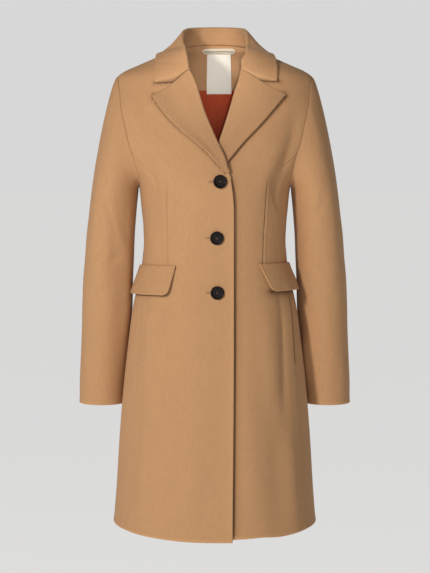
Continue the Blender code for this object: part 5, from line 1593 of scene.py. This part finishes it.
# ================================================================ sewing
# Stitches: their length, width and height, and the distance from one to the next.
FLAP_STITCH = (0.0029, 0.0008, 0.0007)
FLAP_PITCH = 0.0034
FLAP_STITCH_START = 0.004   # the rows begin this far below the flap's upper edge
SMALLEST_CORNER = 0.002   # radius of a row of stitches in the flap's corner
BUTTONHOLE_STITCH = (0.0022, 0.00075, 0.0007)
BUTTONHOLE_PITCH = 0.00072
LABEL_STITCH = (0.0021, 0.00055, 0.0006)
LABEL_PITCH = 0.0026
LABEL_INSET = 0.0012
BAR_PITCH = 0.00085
BAR_STITCH = (0.0009, 0.0009)   # width and height
BAR_LEAN = (0.2, 0.0005)   # small steps in degrees and metres that give a bar's direction
SLIT_SIZE = (0.0011, 0.0006)   # width and height
THREAD_SIZE = (0.00075, 0.0007)
THREAD_PAIR = 0.00035    # half the distance between two threads side by side
THREAD_OVER = 0.0004     # how much higher the crossing pair lies
THREAD_REACH, THREAD_ARCH = 0.0016, 0.0006   # how far a thread passes its holes, and rises
BUTTONHOLE_HALF_LENGTH = 0.0118
BUTTONHOLE_HALF_WIDTH = 0.0011
BUTTONHOLE_SHIFT = -0.0085    # its middle lies this far to the wearer's right of the button
RING_POINTS = 721        # points on the line round the buttonhole, before it is stitched
PILLOW_GRID = 7          # points along and across a single stitch
# Points on the flap's line of stitches: down its end, round a corner, along its lower edge.
DROP_POINTS, CORNER_POINTS, RUN_POINTS = 40, 24, 90
# Points on the label's line of stitches: along its short and its long sides.
SHORT_POINTS, LONG_POINTS = 60, 80


def pillows(name, centres, along, outward, size, materials, bend=0.0):
    """Many small closed pillows in one object, such as stitches: each is a disc of points,
    raised and sunk as an ellipsoid, and stretched along its own direction."""
    x, y = disc_grid(PILLOW_GRID)
    z = np.sqrt(np.clip(1 - x**2 - y**2, 0.0, 1.0))
    length, width, height = size
    along = unit(along)
    outward = unit(outward - along * (along * outward).sum(-1, keepdims=True))
    aside = np.cross(outward, along)
    flat = (centres[:, None, None] + along[:, None, None] * x[..., None] * length / 2
            + aside[:, None, None] * y[..., None] * width / 2)
    arch = outward[:, None, None] * (bend * (1 - x**2))[..., None]
    raised = outward[:, None, None] * z[..., None] * height / 2
    keep, one = skin(*x.shape)
    count = len(centres)
    both = np.concatenate(((flat + arch + raised).reshape(count, x.size, 3),
                           (flat + arch - raised).reshape(count, x.size, 3)), axis=1)[:, keep]
    faces = (one[None] + (np.arange(count) * both.shape[1])[:, None, None]).reshape(-1, 4)
    uv = np.tile(texture_corners(np.stack((x * length / 2, y * width / 2), -1)), (count, 1, 1))
    points = both.reshape(-1, 3)
    faces, uv = faced_out(points, faces, uv, len(one) // 4, outward[0])
    return put_in(name, points, faces, uv, materials)


def stitch_places(points, pitch):
    """Even places along a line of points, and the line's direction at each."""
    length = run_length(points)
    count = max(int(length[-1] / pitch), 1)
    at = (np.arange(count) + 0.5) * length[-1] / count
    ahead, behind = (read_points(at + move, length, points) for move in (pitch / 4, -pitch / 4))
    return read_points(at, length, points), ahead - behind


def flap_stitches(side, materials):
    """Two rows of topstitching inside the flap's front end, lower edge and side end."""
    height = FLAPS[side].height
    places = []
    for line in FLAP_LINES:
        corner = max(FLAP_CORNER - line, SMALLEST_CORNER)
        drop = np.linspace(FLAP_STITCH_START, height - line - corner, DROP_POINTS)
        turn = np.radians(np.linspace(0, 90, CORNER_POINTS))
        run = np.linspace(line + corner, FLAP_WIDTH - line, RUN_POINTS)
        across = np.concatenate((line + 0 * drop, line + corner * (1 - np.cos(turn)), run,
                                 FLAP_WIDTH - line + 0 * drop))
        down = np.concatenate((drop, height - line - corner * (1 - np.sin(turn)),
                               height - line + 0 * run, drop[::-1]))
        points = flap_surface(side, across, down, FOLDED - STITCH_SINK)
        places.append(stitch_places(points, FLAP_PITCH))
    centres, directions = (np.concatenate(part) for part in zip(*places))
    return pillows(f"flap_{side}_stitches", centres, directions, body_distance(centres)[1],
                   FLAP_STITCH, materials)


def bar_tack(tack, materials):
    """Short dense row of stitches across the end of a pocket or a slit.  turn is the
    direction of the row, in degrees from level."""
    turn = np.radians(tack.turn)
    shift = (np.arange(tack.bars) - (tack.bars - 1) / 2) * BAR_PITCH
    angle = tack.angle + shift * np.cos(turn) / BODY_ARC
    height = tack.height + shift * np.sin(turn)
    lift = tack.lift + body_relief(angle, height)
    points = body_surface(angle, height, lift)
    degrees, metres = BAR_LEAN
    across = body_surface(angle - np.sin(turn) * degrees, height + np.cos(turn) * metres, lift)
    return pillows(tack.name, points, across - points, body_distance(points)[1],
                   (tack.width, *BAR_STITCH), materials)


def on_upper_front(x, height):
    """Points on the outside of the front that lies over, with its folds."""
    angle = angle_of(x, height)
    lift = overlap_lift("right", x, height) + body_relief(angle, height)
    return body_surface(angle, height, lift)


def buttonhole(place, materials):
    """Ring of short stitches side by side round the slit, each across the slit's edge."""
    turn = np.radians(np.linspace(0.0, 360.0, RING_POINTS))
    straight_part = BUTTONHOLE_HALF_LENGTH - BUTTONHOLE_HALF_WIDTH
    x = BUTTONHOLE_HALF_WIDTH * np.cos(turn) + straight_part * np.clip(np.cos(turn) * 4, -1, 1)
    points = on_upper_front(place.x + BUTTONHOLE_SHIFT + x,
                            place.height + BUTTONHOLE_HALF_WIDTH * np.sin(turn))
    middle, direction = stitch_places(points, BUTTONHOLE_PITCH)
    outward = body_distance(middle)[1]
    return pillows(f"{place.name}_hole", middle, np.cross(direction, outward), outward,
                   BUTTONHOLE_STITCH, materials)


def slit(place, materials):
    """The cut inside the ring of stitches."""
    point = on_upper_front(np.array([place.x + BUTTONHOLE_SHIFT]), np.array([place.height]))
    return pillows(f"{place.name}_slit", point, np.array([[1.0, 0.0, 0.0]]),
                   body_distance(point)[1], (2 * BUTTONHOLE_HALF_LENGTH, *SLIT_SIZE), materials)


def button_thread(place, materials):
    """Two crossed pairs of thread through the button's holes."""
    centre, aside, rise, outward = button_frame(place)
    lift = BUTTON_THICKNESS / 2 - BUTTON_DISH
    directions, centres = [], []
    for slope, over in ((1, 0.0), (-1, THREAD_OVER)):
        for offset in (-THREAD_PAIR, THREAD_PAIR):
            directions.append(aside * slope + rise)
            centres.append(centre + outward * (lift + over) + (aside - rise * slope) * offset)
    size = (2 * BUTTON_HOLE_SPACING * math.sqrt(2) + THREAD_REACH, *THREAD_SIZE)
    return pillows(f"{place.name}_thread", np.array(centres), np.array(directions),
                   np.tile(outward, (4, 1)), size, materials, bend=THREAD_ARCH)


def label_stitches(materials):
    """Row of small stitches round the label."""
    short, long = np.linspace(-1, 1, SHORT_POINTS), np.linspace(-1, 1, LONG_POINTS)
    x = np.concatenate((short, np.ones(LONG_POINTS), -short, -np.ones(LONG_POINTS)))
    level = np.concatenate((np.ones(SHORT_POINTS), -long, -np.ones(SHORT_POINTS), long))
    x = NECK_SHIFT + x * (LABEL_HALF_WIDTH - LABEL_INSET)
    height = ((LABEL_TOP + LABEL_BOTTOM) / 2
              + level * ((LABEL_TOP - LABEL_BOTTOM) / 2 - LABEL_INSET))
    middle, direction = stitch_places(back_surface(x, height, ON_FACING - LABEL + 0 * x),
                                      LABEL_PITCH)
    return pillows("neck_label_stitches", middle, direction, -body_distance(middle)[1],
                   LABEL_STITCH, materials)


# ================================================================ materials
# Colours are linear.
WOOL_COLOUR = (0.470, 0.259, 0.126)
RUST_SATIN = (0.42, 0.048, 0.006)
LABEL_CREAM = (0.93, 0.88, 0.77)
TAPE_CREAM = (0.70, 0.62, 0.47)
HORN = (0.012, 0.008, 0.006)
HORN_DARK, HORN_BROWN = (0.0045, 0.0032, 0.0028), (0.026, 0.011, 0.006)
THREADS = {
    "camel_thread": (0.42, 0.225, 0.098), "brown_thread": (0.25, 0.125, 0.052),
    "dark_thread": (0.060, 0.028, 0.016), "red_thread": (0.30, 0.06, 0.035),
}
WORN_PALE = 0.35         # how much paler the most worn edge is
DEEPEST = -0.92          # from the attribute below 0, the painted shade, to the share of the deep colour
DEEP_TONE = (0.13, 0.09, 0.06)   # of the painted shade's deep colour to the cloth's own, for each channel
SHEEN_CREAM, SHEEN_RUST = (1.0, 0.86, 0.66, 1.0), (1.0, 0.4, 0.2, 1.0)
# Darkest and palest factor for each channel, of the wool's streaks and of its clouds.
STREAKS = ((0.955, 0.95, 0.94), (1.035, 1.037, 1.04))
CLOUDS = ((0.98, 0.978, 0.975), (1.015, 1.015, 1.015))
LABEL_RIBS, TAPE_RIBS = 620.0, 420.0
# The lapels' darker copy of the wool is partly the nap lying another way and partly painted shade,
# as they face the key light more.
LAPEL_TONE, INSIDE_TONE = 0.86, 0.96   # of the wool's colour


def put_values(node, **values):
    """Sets inputs of a node by their names, with _ for a space."""
    for key, value in values.items():
        node.inputs[key.replace("_", " ")].default_value = value


class Look:
    """One material: its nodes, and short ways to add to them."""

    def __init__(self, name, colour, roughness, **values):
        self.material = bpy.data.materials.new(name)
        self.material.use_nodes = True
        self.nodes, self.links = self.material.node_tree.nodes, self.material.node_tree.links
        self.shader = self.nodes["Principled BSDF"]
        self.colour = colour
        put_values(self.shader, Base_Color=(*colour, 1.0), Roughness=roughness, **values)

    def tone(self, times):
        """The material's colour times a number."""
        return tuple(min(channel * times, 1.0) for channel in self.colour)

    def tones(self, low, high):
        """A darker and a paler colour."""
        return self.tone(low), self.tone(high)

    def add(self, kind, source=None, socket="Vector", settings=None, **values):
        """New node with its settings and inputs, linked to a source."""
        node = self.nodes.new("ShaderNode" + kind)
        for key, value in (settings or {}).items():
            setattr(node, key, value)
        put_values(node, **values)
        if source is not None:
            self.links.new(source, node.inputs[socket])
        return node

    def place(self, across, up):
        """The piece's own texture place, times a scale for each direction."""
        cloth = self.add("UVMap", settings={"uv_map": "cloth"}).outputs["UV"]
        return self.add("Mapping", cloth, Scale=(across, up, 1.0)).outputs["Vector"]

    def noise(self, across, up, detail, distortion=0.0):
        """Cloudy pattern, stretched along the cloth."""
        return self.add("TexNoise", self.place(across, up), Scale=1.0, Detail=detail,
                        Distortion=distortion).outputs["Fac"]

    def ribs(self, scale, direction="DIAGONAL", **values):
        """Parallel ribs along the cloth."""
        return self.add("TexWave", self.place(scale, scale),
                        settings={"bands_direction": direction}, Scale=1.0,
                        **values).outputs["Fac"]

    def ramp(self, factor, colours, start=0.3, end=0.7):
        """Two colours by a factor."""
        node = self.add("ValToRGB", factor, "Fac")
        for element, place, colour in zip(node.color_ramp.elements, (start, end), colours):
            element.position = place
            element.color = (*colour, 1.0)
        return node.outputs["Color"]

    def mix(self, factor, first, second, how="MIX"):
        """First colour mixed with the second by a factor; each may be a value or a link."""
        node = self.add("Mix", settings={"data_type": "RGBA", "blend_type": how})
        for socket, value in ((0, factor), (6, first), (7, second)):
            if isinstance(value, bpy.types.NodeSocket):
                self.links.new(value, node.inputs[socket])
            else:
                node.inputs[socket].default_value = value if socket == 0 else (*value, 1.0)
        return node.outputs[2]

    def worn_and_shaded(self, times):
        """The cloth's attribute of wear and painted shade, times a number."""
        wear = self.add("Attribute", settings={"attribute_name": "wear"}).outputs["Fac"]
        node = self.add("Math", wear, 0, {"operation": "MULTIPLY"})
        node.inputs[1].default_value = times
        return node.outputs[0]

    def shaded(self, base):
        """Painted shade: base made darker and redder beside seams and under covering edges, where
        the attribute is below 0.
        """
        deep = tuple(channel * share for channel, share in zip(self.colour, DEEP_TONE))
        return self.mix(self.worn_and_shaded(DEEPEST), base, deep)

    def finish(self, base, *layers):
        """Links the base colour and a chain of bumps: each layer is a height, its strength
        and its depth in metres.  Gives the material."""
        self.links.new(base, self.shader.inputs["Base Color"])
        before = None
        for height, strength, depth in layers:
            bump = self.add("Bump", before, "Normal", Strength=strength, Distance=depth)
            self.links.new(height, bump.inputs["Height"])
            before = bump.outputs["Normal"]
        self.links.new(before, self.shader.inputs["Normal"])
        return self.material


def wool_material(name, tone):
    """Brushed coating wool: fibres laid downwards, faint cloudy mottling, a soft sheen, a
    paler nap along worn edges, and painted shade beside seams and covering edges."""
    look = Look(name, tuple(channel * tone for channel in WOOL_COLOUR), 0.86, Sheen_Weight=0.16,
                Sheen_Roughness=0.45, Sheen_Tint=SHEEN_CREAM, Specular_IOR_Level=0.18)
    fibre = look.noise(1900.0, 420.0, 4.0, 0.6)
    lock = look.noise(260.0, 70.0, 3.0, 1.2)
    cloud = look.noise(24.0, 14.0, 2.0)
    base = look.ramp(fibre, look.tones(0.90, 1.10), 0.28, 0.72)
    for pattern, factors in ((lock, STREAKS), (cloud, CLOUDS)):
        base = look.mix(1.0, base, look.ramp(pattern, factors), "MULTIPLY")
    base = look.mix(look.worn_and_shaded(WORN_PALE), base, look.tone(1.35))
    weave = look.ribs(150.0, Distortion=3.0, Detail=2.0)
    return look.finish(look.shaded(base), (fibre, 0.30, 0.0004), (lock, 0.10, 0.0008),
                       (weave, 0.05, 0.0003))


def satin_material(name, colour):
    """Smooth twill lining: fine slanting ribs, a soft gloss and faint colour clouds."""
    look = Look(name, colour, 0.55, Specular_IOR_Level=0.20, Sheen_Weight=0.06,
                Sheen_Tint=SHEEN_RUST)
    base = look.ramp(look.noise(20.0, 9.0, 2.0), look.tones(0.85, 1.12))
    rib = look.ribs(700.0, Distortion=0.4)
    slack = look.noise(45.0, 8.0, 2.0)
    return look.finish(base, (rib, 0.12, 0.0003), (slack, 0.35, 0.003))


def woven_material(name, colour, ribs):
    """Label or tape: warp and weft as crossing ribs, with painted shade where the attribute asks
    for it.
    """
    look = Look(name, colour, 0.8, Sheen_Weight=0.2)
    warp, weft = look.ribs(ribs, "X"), look.ribs(ribs * 0.8, "Y")
    base = look.ramp(look.noise(900.0, 900.0, 2.0), look.tones(0.86, 1.06))
    return look.finish(look.shaded(base), (warp, 0.3, 0.0003), (weft, 0.3, 0.0003))


def horn_material(name):
    """Dark polished horn with brown clouds, duller where it is brown."""
    look = Look(name, HORN, 0.22, Specular_IOR_Level=0.14)
    place = look.add("TexCoord").outputs["Object"]
    cloud = look.add("TexNoise", place, Scale=160.0, Detail=4.0, Distortion=1.5).outputs["Fac"]
    rough = look.add("MapRange", cloud, "Value", To_Min=0.24, To_Max=0.42).outputs["Result"]
    look.links.new(rough, look.shader.inputs["Roughness"])
    return look.finish(look.ramp(cloud, (HORN_DARK, HORN_BROWN), 0.50, 0.80),
                       (cloud, 0.15, 0.0003))


def thread_material(name, colour):
    """Twisted sewing thread."""
    look = Look(name, colour, 0.6, Sheen_Weight=0.3)
    twist = look.ribs(900.0)
    return look.finish(look.ramp(twist, look.tones(0.7, 1.15)), (twist, 0.4, 0.0002))


def all_materials():
    """Every material of the coat, by its name."""
    made = [wool_material(name, tone) for name, tone in (
        ("camel_wool", 1.0), ("camel_wool_lapel", LAPEL_TONE),
        ("camel_wool_inside", INSIDE_TONE))]
    made += [satin_material("rust_satin", RUST_SATIN),
             woven_material("cream_label", LABEL_CREAM, LABEL_RIBS),
             woven_material("cream_tape", TAPE_CREAM, TAPE_RIBS), horn_material("dark_horn")]
    made += [thread_material(name, colour) for name, colour in THREADS.items()]
    return {material.name: material for material in made}


def dress(materials):
    """Every piece of the coat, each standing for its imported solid."""
    def of(*names):
        return [materials[name] for name in names]

    lined, wool = of("camel_wool", "camel_wool_inside", "rust_satin"), of("camel_wool")
    pieces = []
    for side in SIDES:
        pieces += [make(side, lined) for make in (front, side_body, back, sleeve)]
        pieces += [lapel(side, of("camel_wool_lapel")), flap(side, wool)]
    pieces += [collar(wool), neck_facing(of("camel_wool_inside")), lining(of("rust_satin")),
               neck_label(of("cream_label")), hanger_loop(of("cream_tape"))]
    pieces += [button(place, of("dark_horn")) for place in BUTTONS]
    for piece in pieces:
        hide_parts(piece.name.rsplit("_", 1)[0])
    return {piece.name: piece for piece in pieces}


Cut = namedtuple("Cut", "name width length area held rests_on")
BACKS = ("back_right", "back_left")

# Flat size of each piece as it is cut, width by length in metres, and its area in square
# metres, of what shows; how it is held, and what it hangs from.
CUTS = rows_of(Cut,
    ("front_right", 0.227, 0.985, 0.169, "hung", ("back_right",)),
    ("front_left", 0.230, 0.975, 0.166, "hung", ("back_left",)),
    ("side_right", 0.206, 0.735, 0.110, "hung", ("front_right", "back_right")),
    ("side_left", 0.206, 0.735, 0.103, "hung", ("front_left", "back_left")),
    ("back_right", 0.236, 0.972, 0.151, "hung", ("front_right",)),
    ("back_left", 0.236, 0.972, 0.151, "hung", ("front_left",)),
    ("sleeve_right", 0.430, 0.632, 0.176, "hung", ("front_right",)),
    ("sleeve_left", 0.430, 0.632, 0.176, "hung", ("front_left",)),
    ("collar", 0.120, 0.531, 0.044, "folded", BACKS),
    ("lapel_right", 0.098, 0.214, 0.0114, "folded", ("front_right",)),
    ("lapel_left", 0.105, 0.210, 0.0121, "folded", ("front_left",)),
    ("flap_right", 0.135, 0.059, 0.0076, "hung", ("front_right",)),
    ("flap_left", 0.129, 0.057, 0.0069, "hung", ("front_left",)),
    ("neck_facing", 0.286, 0.131, 0.0228, "laid", BACKS),
    ("lining", 0.358, 0.274, 0.0744, "hung", BACKS),
    ("neck_label", 0.048, 0.082, 0.0038, "laid", ("neck_facing",)),
    ("hanger_loop", 0.071, 0.013, 0.0007, "laid", ("neck_facing",)),
)


# turn is the direction of the row in degrees from level, bars its number of stitches.
Tack = namedtuple("Tack", "name angle height lift turn bars width colour")
BAR_TACKS = rows_of(Tack,
    ("pocket_right_lower_tack", -60.0, -0.583, 0.0004, 0.0, 7, 0.0014, "camel_thread"),
    ("pocket_left_lower_tack", 63.5, -0.579, 0.0012, 0.0, 7, 0.0014, "camel_thread"),
    ("flap_right_front_tack", -29.9, -0.402, 0.0006, 90.0, 9, 0.0013, "dark_thread"),
    ("flap_left_front_tack", 36.8, -0.404, 0.0052, 90.0, 3, 0.0018, "red_thread"),
)


def sew(materials):
    """Stitches, bar tacks, buttonholes and thread."""
    camel, brown, dark, _ = ([materials[name]] for name in THREADS)
    pieces = [flap_stitches(side, camel) for side in SIDES]
    for place in BUTTONS:
        # The top button's slit is in brown thread: painted shade in the cut.
        pieces += [buttonhole(place, camel), slit(place, brown if place is BUTTONS[0] else camel),
                   button_thread(place, dark)]
    pieces.append(label_stitches([materials["cream_label"]]))
    return pieces + [bar_tack(tack, [materials[tack.colour]]) for tack in BAR_TACKS]


# ================================================================ stage
FLOOR_HEIGHT = -1.36
FLOOR_REACH = 300.0
FLOOR_COLOUR = (0.30, 0.30, 0.30)
FLOOR_GLOW = 0.66        # keeps the floor as pale as the backdrop
EYE_HEIGHT = -0.249
EYE_DISTANCE = 3.3
PIXEL = 0.0019           # metres in the photo for a pixel, at the coat's middle
PHOTO_WIDTH, PHOTO_HEIGHT = 430, 573
HORIZON_ROW = 184.8
MIDDLE_COLUMN = 214.7
FOCAL_SHARE = 1.0035     # corrects the size for the camera's tilt
SENSOR = 36.0
BACKDROP = 0.68          # brightness of the pale backdrop, as the camera sees it
AMBIENT = 0.10           # and as it lights the coat
AMBIENT_TINT = (1.0, 0.86, 0.72)
# Place, point looked at, power and colour of each lamp, and its size or its angle.
KEY = ((-2.1, -3.3, 0.8), (0.0, 0.0, -0.35), 106.0, (1.0, 0.97, 0.93))
FILL = ((-0.1, -4.0, -0.2), (0.0, 0.0, -0.45), 24.0, (1.0, 0.98, 0.96))
NECK_LIGHT = ((0.06, -3.4, -0.13), (0.0, 0.05, -0.035), 540.0, (1.0, 1.0, 1.0))
KEY_SIZE, FILL_SIZE = 0.5, 2.4
NECK_LIGHT_ANGLE, NECK_LIGHT_SIZE = np.radians(3.2), 0.10


def floor():
    """Pale floor that glows a little."""
    look = Look("pale_floor", FLOOR_COLOUR, 1.0, Specular_IOR_Level=0.0,
                Emission_Color=(1.0, 1.0, 1.0, 1.0), Emission_Strength=FLOOR_GLOW)
    mesh = bpy.data.meshes.new("floor")
    corners = ((-1, -1), (1, -1), (1, 1), (-1, 1))
    mesh.from_pydata([(x * FLOOR_REACH, y * FLOOR_REACH, FLOOR_HEIGHT) for x, y in corners],
                     [], [(0, 1, 2, 3)])
    mesh.materials.append(look.material)
    plane = bpy.data.objects.new("floor", mesh)
    bpy.context.scene.collection.objects.link(plane)


def camera():
    """The photo's camera: level with the chest, turned down so that the horizon lies where
    the photo has it."""
    focal = EYE_DISTANCE / PIXEL * FOCAL_SHARE
    data = bpy.data.cameras.new("camera")
    data.sensor_width = SENSOR
    data.lens = SENSOR * focal / PHOTO_HEIGHT
    data.shift_x = (PHOTO_WIDTH / 2 - MIDDLE_COLUMN) / PHOTO_HEIGHT
    tilt = math.atan((PHOTO_HEIGHT / 2 - HORIZON_ROW) / focal)
    eye = bpy.data.objects.new("camera", data)
    eye.location = (0.0, -EYE_DISTANCE, EYE_HEIGHT)
    eye.rotation_euler = (math.pi / 2 - tilt, 0.0, 0.0)
    bpy.context.scene.collection.objects.link(eye)
    bpy.context.scene.camera = eye


def lamp(name, kind, place, target, power, colour, **settings):
    """Lamp of a kind at a place, looking at a point."""
    data = bpy.data.lights.new(name, kind)
    data.energy = power
    data.color = colour
    for key, value in settings.items():
        setattr(data, key, value)
    back = unit(np.array(place, float) - np.array(target, float))
    aside = unit(np.cross((0.0, 0.0, 1.0), back))
    matrix = np.eye(4)
    matrix[:3, :3] = np.stack((aside, np.cross(back, aside), back), axis=1)
    matrix[:3, 3] = place
    piece = bpy.data.objects.new(name, data)
    piece.matrix_world = matrix.T.tolist()
    bpy.context.scene.collection.objects.link(piece)


def light():
    """Key, fill and neck lamps, and a backdrop that is pale to the camera and dim and warm as
    light on the coat."""
    world = bpy.data.worlds.new("pale_studio")
    world.use_nodes = True
    nodes, links = world.node_tree.nodes, world.node_tree.links
    seen = nodes.new("ShaderNodeLightPath").outputs["Is Camera Ray"]
    strength = nodes.new("ShaderNodeMapRange")
    put_values(strength, To_Min=AMBIENT, To_Max=BACKDROP)
    links.new(seen, strength.inputs["Value"])
    links.new(strength.outputs["Result"], nodes["Background"].inputs["Strength"])
    tint = nodes.new("ShaderNodeMix")
    tint.data_type = "RGBA"
    tint.inputs[6].default_value = (*AMBIENT_TINT, 1.0)
    tint.inputs[7].default_value = (1.0, 1.0, 1.0, 1.0)
    links.new(seen, tint.inputs[0])
    links.new(tint.outputs[2], nodes["Background"].inputs["Color"])
    bpy.context.scene.world = world
    lamp("key", "AREA", *KEY, shape="DISK", size=KEY_SIZE)
    lamp("fill", "AREA", *FILL, shape="DISK", size=FILL_SIZE)
    lamp("neck_light", "SPOT", *NECK_LIGHT, shadow_soft_size=NECK_LIGHT_SIZE,
         spot_size=NECK_LIGHT_ANGLE, spot_blend=1.0)
    bpy.context.scene.view_settings.view_transform = "Standard"


materials = all_materials()
made = dress(materials)
sewn = sew(materials)
floor()
light()
camera()
